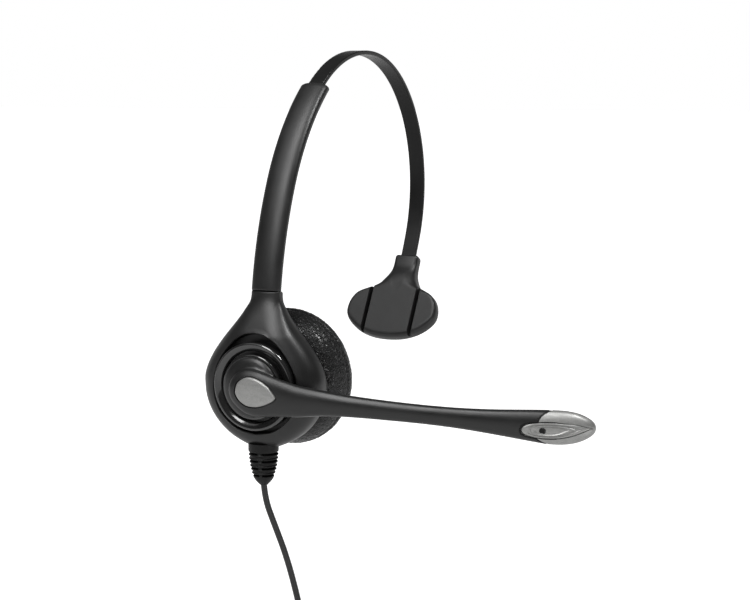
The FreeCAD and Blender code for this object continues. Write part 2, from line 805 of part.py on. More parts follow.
def pad_slab(name, inset, neck_half, neck_start, low, high):
    """A plate with the pad's outline: an oval with a neck that flares out of the socket."""
    side = [(along, across - inset) for along, across in PAD_NECK + PAD_OVAL]
    half = [(neck_start, neck_half)] + [p for p in side if p[0] > neck_start + 2]
    points = [Vector(a, b, 0) for a, b in half]
    points.append(Vector(PAD_BOTTOM - inset, 0, 0))
    points.extend(Vector(a, -b, 0) for a, b in reversed(half))
    curve = Part.BSplineCurve()
    curve.interpolate(points)
    closing = Part.LineSegment(points[-1], points[0])
    rim = doc.addObject("Part::Feature", f"{name}_outline")
    rim.Shape = Part.Wire([curve.toShape(), closing.toShape()])
    rim.Placement = pad_placement().multiply(Placement(Vector(0, 0, float(low)), Rotation()))
    slab = doc.addObject("Part::Extrusion", name)
    slab.Base = rim
    slab.DirMode = "Custom"
    slab.Dir = pad_placement().Rotation.multVec(Z_AXIS)
    slab.Solid = True
    bind(slab, "LengthFwd", as_size(high) - low)
    return slab


def pad_box(name, low, size):
    """A box in the pad's frame."""
    part = doc.addObject("Part::Box", name)
    part.Placement = pad_placement().multiply(Placement(Vector(*low), Rotation()))
    part.Length, part.Width, part.Height = size
    return part


def is_socket_side(edge):
    """True for the four edges along the socket."""
    return abs(edge.Length - SOCKET_LENGTH) < 0.1


def make_temple_pad():
    """Hard T-shaped carrier with the strip's socket, and the grooved rubber facing on the head side."""
    floor = as_size(PAD_FLOOR)
    step = floor + dim.pad_backing
    plate = pad_slab("pad_plate", 0.5, 5.2, 8.0, floor, step)
    size = (SOCKET_LENGTH, 2 * SOCKET_HALF, SOCKET_HEIGHT)
    socket = pad_box("pad_socket", (SOCKET_START, -SOCKET_HALF, SOCKET_BACK), size)
    carrier = rounded("socket_rounded", socket, SOCKET_CORNER, is_socket_side)
    strip_room = sector("strip_room", END, -1.0, 1.0, dim.strip_width + 0.2, 0, dim.end_turn + 0.1)
    carrier_solid = fused("carrier_solid", plate, carrier)
    node(cut("temple_pad_carrier", carrier_solid, strip_room))
    top = step + dim.pad_rubber
    slab = pad_slab("rubber_slab", 0.0, 5.6, 11.0, step + 0.02, top)
    grooves = []
    for side in (-1, 1):
        low = side * GROOVE_ACROSS - float(dim.pad_groove) / 2
        groove = pad_box("pad_hinge_groove", (0, low, float(top) - GROOVE_DEPTH), (60, 1, 5))
        bind(groove, "Width", dim.pad_groove)
        grooves.append(groove)
    node(cut("temple_pad_facing", slab, *grooves))


# ---------------------------------------------------------------- cord
RELIEF_X = -25.8
RELIEF_END = -38.8
CORD_ROUTE = [
    (RELIEF_X, 0, RELIEF_END),
    (-25.4, -0.4, -45),
    (-23.0, -2.6, -54),
    (-19.8, -6.1, -67),
    (-17.0, -9.0, -82),
    (-15.6, -10.4, -96),
    (-15.4, -10.6, -109),
]
FIRST_SLOT = -26.3
SLOT_PITCH = 1.42
RELIEF_ROWS = 7
NARROW_WEB = 0.9
WIDE_WEB = 4.0
WEB_TURN = 6.5
SLOT_REACH = 8.0
SLOT_CORE = 2.6
COIL_CENTRE = Vector(-1.9, -10.6, -113)
TAIL_ROUTE = [
    (-14.2, -8.0, -111.0),
    (-12.8, -4.6, -116.5),
    (-13.0, -3.4, -121.0),
    (-13.6, -3.0, -128.0),
    (-14.0, -3.4, -137.5),
]
PLUG_X = -14.0
PLUG_Y = -3.4
BOOT_TOP = -134.5


def relief_bar(low, width, turn):
    """A bar through the boot at one row, turned from the rows' own forward direction."""
    bar = doc.addObject("Part::Box", "slot_bar")
    bar.Length, bar.Width, bar.Height = 20, width, 3
    spin = Placement(Vector(0, 0, low - 1), Rotation(Z_AXIS, turn - WEB_TURN))
    bar.Placement = spin.multiply(Placement(Vector(-10, -width / 2, 0), Rotation()))
    return bar


def make_relief():
    """Ribbed boot: a cone with rows of slots, in turn on its faces and on its sides."""
    cone = turned_z("relief_cone", [
        (0, -21.6),
        (dim.relief_radius, -21.6),
        (dim.relief_radius, -24.6),
        (dim.relief_radius - 0.1, -26.4),
        (dim.relief_radius - 0.5, -30.6),
        (dim.relief_radius - 1.1, -33.4),
        (dim.relief_tip, -36.4),
        (dim.relief_tip - 1.1, -37.8),
        (dim.relief_tip - 1.9, RELIEF_END),
        (0, RELIEF_END),
    ])
    slots = []
    for row in range(RELIEF_ROWS):
        low = FIRST_SLOT - row * SLOT_PITCH - float(dim.relief_slot) / 2
        ring = rod("slot_ring", "z", low, low + dim.relief_slot, SLOT_REACH)
        core = rod("slot_core", "z", low - 1, low + 2, SLOT_CORE)
        across = relief_bar(low, WIDE_WEB, 90)
        if row % 2:
            slots.append(cut("side_slots", common("side_ring", ring, across), core))
        else:
            slots.append(cut("face_slots", ring, core, across, relief_bar(low, NARROW_WEB, 0)))
    boot = cut("relief_boot", cone, *slots)
    boot.Placement = Placement(Vector(RELIEF_X, 0, 0), Rotation())
    ring_room = rod("ring_room", "x", -40, -10, dim.yoke_cavity + 0.1)
    return node(cut("strain_relief", boot, ring_room))


def make_cord():
    """Cord from the boot to its put-away coil, the tie round the coil and the cord's last stretch."""
    node(tube("cord_lead", CORD_ROUTE, dim.cord_radius))
    coil = doc.addObject("Part::Torus", "cord_coil")
    bind(coil, "Radius1", dim.coil_radius)
    bind(coil, "Radius2", dim.coil_bundle)
    coil.Placement = Placement(COIL_CENTRE, TURNED_TO["y"])
    node(coil)
    top = COIL_CENTRE + Z_AXIS * float(dim.coil_radius)
    tie_outer = rod("tie_outer", "x", top.x - 3, top.x + 3, dim.coil_bundle + 0.9, (top.y, top.z))
    tie_inner = rod("tie_inner", "x", top.x - 5, top.x + 5, dim.coil_bundle + 0.15, (top.y, top.z))
    node(cut("cord_tie", tie_outer, tie_inner))
    node(cut("cord_tail", tube("tail_tube", TAIL_ROUTE, dim.cord_radius), coil))


def make_plug():
    """Quick-disconnect plug: two half shells on an insulator with four contacts, and its own boot."""
    middle = PLUG_Y
    top = BOOT_TOP - 8
    bottom = top - dim.plug_length
    flare = top + 0.05
    boot = turned_z("boot_cone", [(1.25, flare), (3.4, flare), (1.9, BOOT_TOP), (1.25, BOOT_TOP)])
    boot.Placement = Placement(Vector(PLUG_X, middle, 0), Rotation())
    boot.Label = "plug_boot"
    node(boot)
    half = dim.plug_width / 2
    deep = dim.plug_depth / 2
    wall = 1.3
    for label, near, far in (("plug_front_shell", -deep, 0), ("plug_rear_shell", 0, deep)):
        outer_low = (PLUG_X - half, near + middle, bottom)
        outer = block("plug_outer", outer_low, (PLUG_X + half, far + middle, top))
        soft = rounded("plug_rounded", outer, 1.2, lambda edge: is_plug_corner(edge, middle))
        inner_low = (PLUG_X - half + wall, middle - deep + wall, bottom - 1)
        inner_high = (PLUG_X + half - wall, middle + deep - wall, top - wall)
        inner = block("plug_inner", inner_low, inner_high)
        mouth = rod("plug_mouth", "z", top - 3, top + 1, 1.25, (PLUG_X, middle))
        node(cut(label, soft, inner, mouth))
    inset = wall + 0.05
    block_low = (PLUG_X - half + inset, middle - deep + inset, bottom + 4)
    block_high = (PLUG_X + half - inset, middle + deep - inset, bottom + 14)
    insulator = block("insulator_block", block_low, block_high)
    pins = []
    for step in range(4):
        place = (PLUG_X - 3.3 + 2.2 * step, middle)
        pins.append(rod("contact_pin", "z", bottom + 1, bottom + 12, 0.5, place))
    contacts = group("plug_contacts", *pins)
    node(cut("plug_insulator", insulator, contacts))
    node(contacts)


def is_plug_corner(edge, middle):
    """True for the four upright edges on the outer side of a plug shell."""
    box = edge.BoundBox
    upright = box.ZLength > 20
    return upright and abs(box.YMin - float(middle)) > 0.1


# ---------------------------------------------------------------- the whole headset
make_cushion()
make_capsule_front()
make_capsule_shell()
make_loudspeaker()
make_turret()
make_yoke(make_relief())
make_sleeve()
make_strip()
make_temple_pad()
make_hub()
make_boom()
make_microphone()
make_cord()
make_plug()

doc.recompute()
faults = [thing.Name for thing in doc.Objects if "Invalid" in thing.State or "Error" in thing.State]
for part in NODES:
    if part.Shape.isNull() or not part.Shape.isValid():
        faults.append(part.Label)
if faults:
    raise SystemExit(f"not sound: {faults}")

os.makedirs("parts", exist_ok=True)
for part in NODES:
    part.Shape.exportStep(f"parts/{part.Label}.step")
    print(f"{part.Label}: {len(part.Shape.Solids)} solid, {part.Shape.Volume:.0f} cubic mm")
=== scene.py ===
import bpy
import bmesh
import json
import math
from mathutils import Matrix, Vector, noise


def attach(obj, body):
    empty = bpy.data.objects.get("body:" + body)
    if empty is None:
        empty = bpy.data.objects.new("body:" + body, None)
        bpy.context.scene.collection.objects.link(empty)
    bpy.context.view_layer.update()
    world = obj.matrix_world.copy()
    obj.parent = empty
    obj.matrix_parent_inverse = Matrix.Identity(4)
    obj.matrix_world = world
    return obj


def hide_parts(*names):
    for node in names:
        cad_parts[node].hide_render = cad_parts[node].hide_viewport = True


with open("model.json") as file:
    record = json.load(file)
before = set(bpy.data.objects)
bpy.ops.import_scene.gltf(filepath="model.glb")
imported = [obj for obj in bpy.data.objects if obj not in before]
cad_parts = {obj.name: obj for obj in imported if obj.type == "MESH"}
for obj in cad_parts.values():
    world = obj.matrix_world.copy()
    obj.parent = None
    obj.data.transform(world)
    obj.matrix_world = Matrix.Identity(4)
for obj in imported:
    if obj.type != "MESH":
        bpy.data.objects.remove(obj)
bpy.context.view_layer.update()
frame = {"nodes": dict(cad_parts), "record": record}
scene = bpy.context.scene
MM = 0.001


# ---------------------------------------------------------------- camera

camera = bpy.data.objects.new("camera", bpy.data.cameras.new("camera"))
scene.collection.objects.link(camera)
camera.location = Vector((-594.5, -318.46, 111.05)) * MM
camera.rotation_mode = "QUATERNION"
camera.rotation_quaternion = Vector((0.8959, 0.4276, -0.1206)).to_track_quat("-Z", "Y")
camera.data.sensor_width = 36.0
camera.data.lens = 83.42
camera.data.clip_start = 0.01
camera.data.clip_end = 60.0
scene.camera = camera


# ---------------------------------------------------------------- mesh helpers


def lofted(rings, closed=False):
    """Points and faces of a skin over rings with equal numbers of points, capped unless closed round."""
    count = len(rings[0])
    points = [p for ring in rings for p in ring]
    faces = []
    last = len(rings) if closed else len(rings) - 1
    for i in range(last):
        a = i * count
        b = ((i + 1) % len(rings)) * count
        for j in range(count):
            k = (j + 1) % count
            faces.append((a + j, a + k, b + k, b + j))
    if not closed:
        for end, ring in ((0, rings[0]), (len(rings) - 1, rings[-1])):
            centre = sum((Vector(p) for p in ring), Vector()) / count
            points.append(tuple(centre))
            for j in range(count):
                faces.append((end * count + j, end * count + (j + 1) % count, len(points) - 1))
    return points, faces


# ---------------------------------------------------------------- cords

CORD_RADIUS = 1.2
LEAD_ROUTE = [
    (-25.8, 0.0, -38.8),
    (-25.4, -0.4, -45.0),
    (-23.0, -2.6, -54.0),
    (-19.8, -6.1, -67.0),
    (-17.4, -9.2, -82.0),
    (-17.2, -12.4, -96.0),
]
COIL_CENTRE = (-1.9, -10.6, -113.0)
COIL_RADIUS = 13.5
COIL_LAYERS = 3
TURNS_IN_LAYER = 3
TURN_SPACING = 2.5
POINTS_IN_TURN = 16
FAN = 0.2
TAIL_ROUTE = [
    (-12.8, -4.6, -116.5),
    (-13.0, -3.4, -121.0),
    (-13.6, -3.0, -128.0),
    (-14.0, -3.4, -136.0),
]


def coil_points():
    """The put-away turns: three layers from the outside in, tied at the top and fanned out below it."""
    points = []
    turns = COIL_LAYERS * TURNS_IN_LAYER
    for i in range(turns * POINTS_IN_TURN + 1):
        turn = i / POINTS_IN_TURN
        angle = math.tau * turn
        layer = turn / TURNS_IN_LAYER
        rank = sum(max(0.0, min(1.0, (layer - step) * 10 + 0.5)) for step in range(1, COIL_LAYERS))
        along = 1 - 2 * abs(layer % 2 - 1)
        fan = 1 + FAN * (1 + math.sin(angle)) / 2
        radius = COIL_RADIUS + TURN_SPACING * (COIL_LAYERS / 2 - 0.5 - rank) * fan
        across = along * TURN_SPACING * TURNS_IN_LAYER / 2 * fan
        points.append((
            COIL_CENTRE[0] - radius * math.cos(angle),
            COIL_CENTRE[1] + across,
            COIL_CENTRE[2] - radius * math.sin(angle),
        ))
    return points


def cord_curve(points):
    """The whole cord as one spline through its points, with the cord's radius at every knot."""
    data = bpy.data.curves.new("cord", "CURVE")
    data.dimensions = "3D"
    spline = data.splines.new("NURBS")
    spline.points.add(len(points) - 1)
    for knot, p in zip(spline.points, points):
        knot.co = (p[0] * MM, p[1] * MM, p[2] * MM, 1.0)
        knot.radius = CORD_RADIUS * MM
    spline.order_u = 3
    spline.use_endpoint_u = True
    spline.resolution_u = 6
    data.bevel_depth = 1.0
    data.bevel_resolution = 5
    data.use_fill_caps = True
    obj = bpy.data.objects.new("cord", data)
    scene.collection.objects.link(obj)
    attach(obj, "yoke")
    return obj


cord = cord_curve(LEAD_ROUTE + coil_points() + TAIL_ROUTE)
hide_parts("cord_lead", "cord_coil", "cord_tail")


# ---------------------------------------------------------------- materials


class Look:
    """Builds one procedural material."""

    def __init__(self, name):
        self.material = bpy.data.materials.new(name)
        self.material.use_nodes = True
        self.tree = self.material.node_tree
        self.shader = self.tree.nodes["Principled BSDF"]
        self.coords = self.add("ShaderNodeTexCoord").outputs["Object"]

    def add(self, kind, **settings):
        node = self.tree.nodes.new(kind)
        for key, value in settings.items():
            setattr(node, key, value)
        return node

    def link(self, a, b):
        self.tree.links.new(a, b)

    def scaled(self, scale):
        mapping = self.add("ShaderNodeMapping")
        mapping.inputs["Scale"].default_value = scale
        self.link(self.coords, mapping.inputs["Vector"])
        return mapping.outputs["Vector"]

    def noise(self, scale, detail=3.0, rough=0.55, vector=None):
        node = self.add("ShaderNodeTexNoise")
        node.inputs["Scale"].default_value = scale
        node.inputs["Detail"].default_value = detail
        node.inputs["Roughness"].default_value = rough
        self.link(vector or self.coords, node.inputs["Vector"])
        return node.outputs["Fac"]

    def cells(self, scale, feature="F1"):
        node = self.add("ShaderNodeTexVoronoi", feature=feature)
        node.inputs["Scale"].default_value = scale
        self.link(self.coords, node.inputs["Vector"])
        return node.outputs["Distance"]

    def ramp(self, value, low, high, out_low=0.0, out_high=1.0):
        node = self.add("ShaderNodeMapRange")
        node.inputs["From Min"].default_value = low
        node.inputs["From Max"].default_value = high
        node.inputs["To Min"].default_value = out_low
        node.inputs["To Max"].default_value = out_high
        self.link(value, node.inputs["Value"])
        return node.outputs["Result"]

    def sum(self, a, b):
        node = self.add("ShaderNodeMath", operation="ADD")
        self.link(a, node.inputs[0])
        self.link(b, node.inputs[1])
        return node.outputs[0]

    def edge(self, radius):
        """1 where the surface bends sharply within the radius, 0 on its flat runs."""
        bevel = self.add("ShaderNodeBevel", samples=4)
        bevel.inputs["Radius"].default_value = radius * MM
        geometry = self.add("ShaderNodeNewGeometry")
        dot = self.add("ShaderNodeVectorMath", operation="DOT_PRODUCT")
        self.link(bevel.outputs["Normal"], dot.inputs[0])
        self.link(geometry.outputs["Normal"], dot.inputs[1])
        return self.ramp(dot.outputs["Value"], 0.99, 0.85)

    def mix(self, fac, a, b):
        node = self.add("ShaderNodeMix", data_type="RGBA")
        self.link(fac, node.inputs["Factor"])
        for socket, value in ((node.inputs[6], a), (node.inputs[7], b)):
            if isinstance(value, tuple):
                socket.default_value = (*value, 1.0)
            else:
                self.link(value, socket)
        return node.outputs[2]

    def bump(self, height, strength, distance):
        node = self.add("ShaderNodeBump")
        node.inputs["Strength"].default_value = strength
        node.inputs["Distance"].default_value = distance * MM
        self.link(height, node.inputs["Height"])
        self.link(node.outputs["Normal"], self.shader.inputs["Normal"])

    def set(self, name, value):
        socket = self.shader.inputs[name]
        if isinstance(value, (int, float)):
            socket.default_value = value
        elif isinstance(value, tuple):
            socket.default_value = (*value, 1.0)
        else:
            self.link(value, socket)


def plastic(name, dark, light, rough, grain, bump, wear_and_highlight=0.25, shine=0.4):
    """Moulded plastic: spark-eroded grain, faint mottling, slightly polished edges, and edges painted
    lighter, partly as wear and partly as a painted highlight.
    """
    look = Look(name)
    mottle = look.noise(90.0, 4.0, 0.6)
    fine = look.noise(grain, 5.0, 0.7)
    pits = look.cells(grain * 0.9)
    edge = look.edge(0.5)
    base = look.mix(look.ramp(mottle, 0.3, 0.7), dark, light)
    # Edges painted lighter: partly rubbed wear, partly a painted highlight along the rims.
    worn_and_highlit = tuple(min(1.0, c * (1 + wear_and_highlight) + 0.003) for c in light)
    look.set("Base Color", look.mix(edge, base, worn_and_highlit))
    spread = look.ramp(look.sum(fine, mottle), 0.7, 1.3, rough - 0.05, rough + 0.06)
    polished = look.add("ShaderNodeMath", operation="MULTIPLY_ADD")
    look.link(edge, polished.inputs[0])
    polished.inputs[1].default_value = -0.1
    look.link(spread, polished.inputs[2])
    look.set("Roughness", polished.outputs[0])
    look.bump(look.sum(pits, fine), bump, 0.02)
    look.set("Specular IOR Level", shine)
    return look.material


def gloss(name, colour, rough):
    """Polished moulded plastic with faint swirl marks and dust."""
    look = Look(name)
    mottle = look.noise(140.0, 3.0)
    swirl = look.noise(900.0, 2.0, 0.5, look.scaled((1.0, 1.0, 0.12)))
    look.set("Base Color", look.mix(look.ramp(mottle, 0.35, 0.7), colour, tuple(c * 1.5 for c in colour)))
    look.set("Roughness", look.ramp(swirl, 0.35, 0.75, rough, rough + 0.08))
    look.set("Coat Weight", 0.5)
    look.set("Coat Roughness", 0.03)
    look.bump(swirl, 0.05, 0.01)
    return look.material


def leatherette(name):
    """Coated fabric with a fine pebble, shiny on the tops and dull in the creases; the creases are painted
    darker as painted shade and the tops lighter as a painted highlight.
    """
    look = Look(name)
    warp = look.noise(400.0, 2.0)
    pebble = look.cells(1200.0)
    crease = look.cells(1200.0, "DISTANCE_TO_EDGE")
    wrinkle = look.noise(160.0, 4.0, 0.6)
    top = look.ramp(crease, 0.02, 0.16)
    # Painted shade in the pebble's creases and a painted highlight on its tops.
    look.set("Base Color", look.mix(top, (0.002, 0.002, 0.002), (0.006, 0.006, 0.006)))
    look.set("Roughness", look.ramp(look.sum(pebble, warp), 0.4, 1.2, 0.22, 0.38))
    height = look.add("ShaderNodeMath", operation="MULTIPLY_ADD")
    look.link(wrinkle, height.inputs[0])
    height.inputs[1].default_value = 1.6
    look.link(top, height.inputs[2])
    look.bump(height.outputs[0], 1.0, 0.22)
    look.set("Specular IOR Level", 0.42)
    return look.material


def silver(name):
    """Satin silver paint: metallic flake in a soft clear coat."""
    look = Look(name)
    flake = look.cells(4200.0)
    brush = look.noise(700.0, 3.0, 0.6, look.scaled((1.0, 0.25, 1.0)))
    cloud = look.noise(70.0, 3.0)
    sparkle = look.ramp(look.sum(flake, brush), 0.5, 1.2)
    look.set("Base Color", look.mix(sparkle, (0.17, 0.17, 0.166), (0.25, 0.25, 0.244)))
    look.set("Metallic", 0.62)
    look.set("Roughness", look.ramp(look.sum(cloud, brush), 0.6, 1.4, 0.40, 0.50))
    look.set("Coat Weight", 0.3)
    look.set("Coat Roughness", 0.35)
    look.bump(flake, 0.12, 0.01)
    return look.material


def rubber(name, dark, light, rough, shine=0.4):
    """Elastomer or cable jacket: soft, slightly dusty, with a fine matt skin, and edges painted lighter,
    partly as wear and partly as a painted highlight.
    """
    look = Look(name)
    cloud = look.noise(120.0, 4.0, 0.6)
    skin = look.noise(2600.0, 4.0, 0.7)
    edge = look.edge(0.4)
    base = look.mix(look.ramp(cloud, 0.3, 0.75), dark, light)
    # Edges painted lighter: partly rubbed wear, partly a painted highlight along the rims.
    look.set("Base Color", look.mix(edge, base, tuple(c * 1.2 + 0.002 for c in light)))
    look.set("Roughness", look.ramp(look.sum(cloud, skin), 0.6, 1.4, rough - 0.05, rough + 0.08))
    look.bump(skin, 0.2, 0.02)
    look.set("Specular IOR Level", shine)
    return look.material


def metal(name, colour, rough):
    """Turned or rolled metal with fine lines."""
    look = Look(name)
    lines = look.noise(2200.0, 3.0, 0.6, look.scaled((1.0, 1.0, 0.1)))
    cloud = look.noise(200.0, 3.0)
    look.set("Base Color", look.mix(look.ramp(cloud, 0.3, 0.7), tuple(c * 0.82 for c in colour), colour))
    look.set("Metallic", 1.0)
    look.set("Roughness", look.ramp(lines, 0.3, 0.7, rough - 0.06, rough + 0.08))
    look.bump(lines, 0.1, 0.01)
    return look.material


def weave(name, colour, scale):
    """Woven or foamed black cloth, with the gaps between its cells painted darker as painted shade."""
    look = Look(name)
    cell = look.cells(scale)
    fibre = look.noise(scale * 3, 3.0, 0.6)
    top = look.ramp(cell, 0.1, 0.5, 1.0, 0.0)
    # Painted shade in the gaps between the cells.
    look.set("Base Color", look.mix(top, tuple(c * 0.4 for c in colour), colour))
    look.set("Roughness", look.ramp(fibre, 0.3, 0.7, 0.85, 0.95))
    look.bump(look.sum(top, fibre), 0.6, 0.1)
    look.set("Sheen Weight", 0.25)
    return look.material


def grey(value):
    return (value, value, value)


MATERIALS = {
    "leatherette": leatherette("leatherette"),
    "black_plastic": plastic("black_plastic", grey(0.006), grey(0.009), 0.41, 3600.0, 0.22),
    "boom_plastic": plastic("boom_plastic", grey(0.0065), grey(0.0095), 0.36, 3800.0, 0.2),
    "strip_plastic": plastic("strip_plastic", grey(0.004), grey(0.007), 0.38, 3200.0, 0.15, shine=0.2),
    "gloss_black": gloss("gloss_black", grey(0.008), 0.12),
    "silver": silver("silver"),
    "pad_rubber": rubber("pad_rubber", grey(0.006), grey(0.010), 0.42),
    "black_rubber": rubber("black_rubber", grey(0.004), grey(0.008), 0.5, shine=0.22),
    "cord_jacket": rubber("cord_jacket", grey(0.008), grey(0.013), 0.4),
    "tie_strap": weave("tie_strap", grey(0.03), 1800.0),
    "scrim": weave("scrim", grey(0.02), 2400.0),
    "foam": weave("foam", grey(0.02), 3000.0),
    "steel": metal("steel", (0.56, 0.56, 0.55), 0.3),
    "magnet_steel": metal("magnet_steel", (0.42, 0.42, 0.41), 0.38),
    "film": gloss("film", (0.30, 0.24, 0.15), 0.25),
    "wire": rubber("wire", (0.10, 0.012, 0.012), (0.14, 0.02, 0.02), 0.4),
    "insulator": plastic("insulator", (0.62, 0.61, 0.57), (0.70, 0.69, 0.65), 0.4, 2400.0, 0.1, wear_and_highlight=0.05),
    "brass": metal("brass", (0.83, 0.62, 0.27), 0.22),
}
SLOT_OF = {part["node"]: part["material_slot"] for part in frame["record"]["subparts"]}


def dress(obj, slot):
    """Gives a piece its slot's material and nothing else."""
    obj.data.materials.clear()
    obj.data.materials.append(MATERIALS[slot])


for node, obj in frame["nodes"].items():
    dress(obj, SLOT_OF[node])
dress(cord, "cord_jacket")

# ---------------------------------------------------------------- shaping helpers


def blend_between(table, at):
    """Smooth interpolation, without overshoot, in a table of (place, value)."""
    if at <= table[0][0]:
        return table[0][1]
    if at >= table[-1][0]:
        return table[-1][1]
    i = next(k for k in range(1, len(table)) if at <= table[k][0])
    slopes = []
    for k in (i - 1, i, i + 1):
        if 0 < k < len(table):
            slopes.append((table[k][1] - table[k - 1][1]) / (table[k][0] - table[k - 1][0]))
        else:
            slopes.append(0.0)
    before, here, after = slopes
    start = 2 * before * here / (before + here) if before * here > 0 else 0.0
    end = 2 * here * after / (here + after) if here * after > 0 else 0.0
    (left, low), (right, high) = table[i - 1], table[i]
    span = right - left
    t = (at - left) / span
    return (
        low * (1 + 2 * t) * (1 - t) ** 2
        + span * start * t * (1 - t) ** 2
        + high * t * t * (3 - 2 * t)
        + span * end * t * t * (t - 1)
    )


def smooth_line(knots, steps, closed=False):
    """A smooth line through the knots, with this many steps to each span."""
    count = len(knots)
    spans = count if closed else count - 1
    line = []
    for i in range(spans):
        if closed:
            p = [knots[(i + k) % count] for k in (-1, 0, 1, 2)]
        else:
            p = [knots[max(0, min(count - 1, i + k))] for k in (-1, 0, 1, 2)]
        for step in range(steps):
            t = step / steps
            weights = (
                -0.5 * t + t * t - 0.5 * t ** 3,
                1 - 2.5 * t * t + 1.5 * t ** 3,
                0.5 * t + 2 * t * t - 1.5 * t ** 3,
                -0.5 * t * t + 0.5 * t ** 3,
            )
            line.append(tuple(sum(w * q[k] for w, q in zip(weights, p)) for k in range(len(knots[0]))))
    if not closed:
        line.append(tuple(knots[-1]))
    return line


def distance_to(line, point):
    """Shortest distance in a plane from a point to a line of points."""
    best = 1e9
    px, py = point
    for (ax, ay), (bx, by) in zip(line, line[1:]):
        dx, dy = bx - ax, by - ay
        size = dx * dx + dy * dy or 1e-12
        t = max(0.0, min(1.0, ((px - ax) * dx + (py - ay) * dy) / size))
        best = min(best, math.hypot(px - ax - t * dx, py - ay - t * dy))
    return best


def raw_object(name, points, faces):
    """A loose object in millimetre points, for cutting with or for reshaping."""
    data = bpy.data.meshes.new(name)
    data.from_pydata([Vector(p) * MM for p in points], [], faces)
    tidy = bmesh.new()
    tidy.from_mesh(data)
    bmesh.ops.remove_doubles(tidy, verts=tidy.verts, dist=1e-7)
    bmesh.ops.recalc_face_normals(tidy, faces=tidy.faces)
    tidy.to_mesh(data)
    tidy.free()
    obj = bpy.data.objects.new(name, data)
    scene.collection.objects.link(obj)
    return obj


def prism(name, outline, low, high, place):
    """A closed prism over an outline, place(a, b, level) giving each point."""
    count = len(outline)
    points = [place(a, b, low) for a, b in outline] + [place(a, b, high) for a, b in outline]
    faces = [tuple(range(count)), tuple(range(count, 2 * count))]
    faces += [(i, (i + 1) % count, count + (i + 1) % count, count + i) for i in range(count)]
    return raw_object(name, points, faces)


def applied(obj):
    """Turns an object's modifiers into its mesh."""
    bpy.context.view_layer.update()
    result = bpy.data.meshes.new_from_object(obj.evaluated_get(bpy.context.evaluated_depsgraph_get()))
    obj.modifiers.clear()
    old = obj.data
    obj.data = result
    bpy.data.meshes.remove(old)
    return obj


def remeshed(obj, voxel, smoothing):
    """One skin over overlapping shells, softened where they meet."""
    skin = obj.modifiers.new("skin", "REMESH")
    skin.mode = "VOXEL"
    skin.voxel_size = voxel * MM
    soften = obj.modifiers.new("soften", "SMOOTH")
    soften.factor = 0.5
    soften.iterations = smoothing
    return applied(obj)


def boolean(obj, tool, operation="DIFFERENCE"):
    """Cuts an object with a loose tool, and removes the tool."""
    cutter = obj.modifiers.new("cut", "BOOLEAN")
    cutter.object = tool
    cutter.operation = operation
    cutter.solver = "EXACT"
    applied(obj)
    bpy.data.objects.remove(tool)


def finished(obj, name, body, slot, sharp=38):
    """Makes a loose object a piece of the model."""
    obj.name = name
    obj.data.name = name
    obj.data.polygons.foreach_set("use_smooth", [True] * len(obj.data.polygons))
    obj.data.set_sharp_from_angle(angle=math.radians(sharp))
    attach(obj, body)
    dress(obj, slot)
    return obj


def circle(radius, steps):
    """Points of a circle, as pairs."""
    turns = [math.tau * i / steps for i in range(steps)]
    return [(radius * math.cos(turn), radius * math.sin(turn)) for turn in turns]


def turned_ring(name, profile, steps=160):
    """A closed ring about the X axis from a closed profile of (x, radius)."""
    rings = []
    for i in range(steps):
        turn = math.tau * i / steps
        rings.append([(x, r * math.cos(turn), r * math.sin(turn)) for x, r in profile])
    return raw_object(name, *lofted(rings, closed=True))


# ---------------------------------------------------------------- yoke

YOKE_TOP = 35.15
YOKE_SIDE = [
    (6.0, YOKE_TOP), (6.05, 33.4), (6.35, 31.6), (7.1, 30.0), (7.95, 28.6), (9.85, 25.4), (12.2, 22.2),
    (14.9, 19.0), (17.7, 15.7), (20.2, 12.5), (22.3, 9.2), (23.8, 6.0), (24.7, 2.8), (24.8, -0.3),
    (24.3, -5.0), (22.85, -9.5), (20.6, -13.4), (17.3, -17.2), (12.9, -20.6), (7.6, -23.2), (3.4, -24.5),
    (0.0, -24.8),
]
YOKE_OPENING = [
    (0, 19.9), (13, 19.7), (27, 18.9), (33, 18.4), (41, 17.95), (55, 17.55), (69, 17.5), (80, 17.6),
    (100, 18.0), (120, 18.3), (133, 18.25), (147, 18.2), (160, 18.2), (180, 18.1),
]
YOKE_FRONT = [
    (16.0, -32.5), (18.5, -32.4), (21.0, -31.6), (24.0, -30.1), (27.0, -28.3), (30.0, -26.7),
    (32.0, -25.9), (34.0, -25.4), (YOKE_TOP, -25.25),
]
YOKE_ROLL_DEPTH = [(8.0, 8.0), (18.0, 7.0), (24.0, 4.8), (30.0, 3.0), (YOKE_TOP, 2.1)]
YOKE_ROLL_WIDTH = [(8.0, 7.4), (18.0, 7.2), (24.0, 7.2), (30.0, 6.8), (YOKE_TOP, 6.3)]
YOKE_BACK = -20.5
YOKE_CAVITY = 22.4


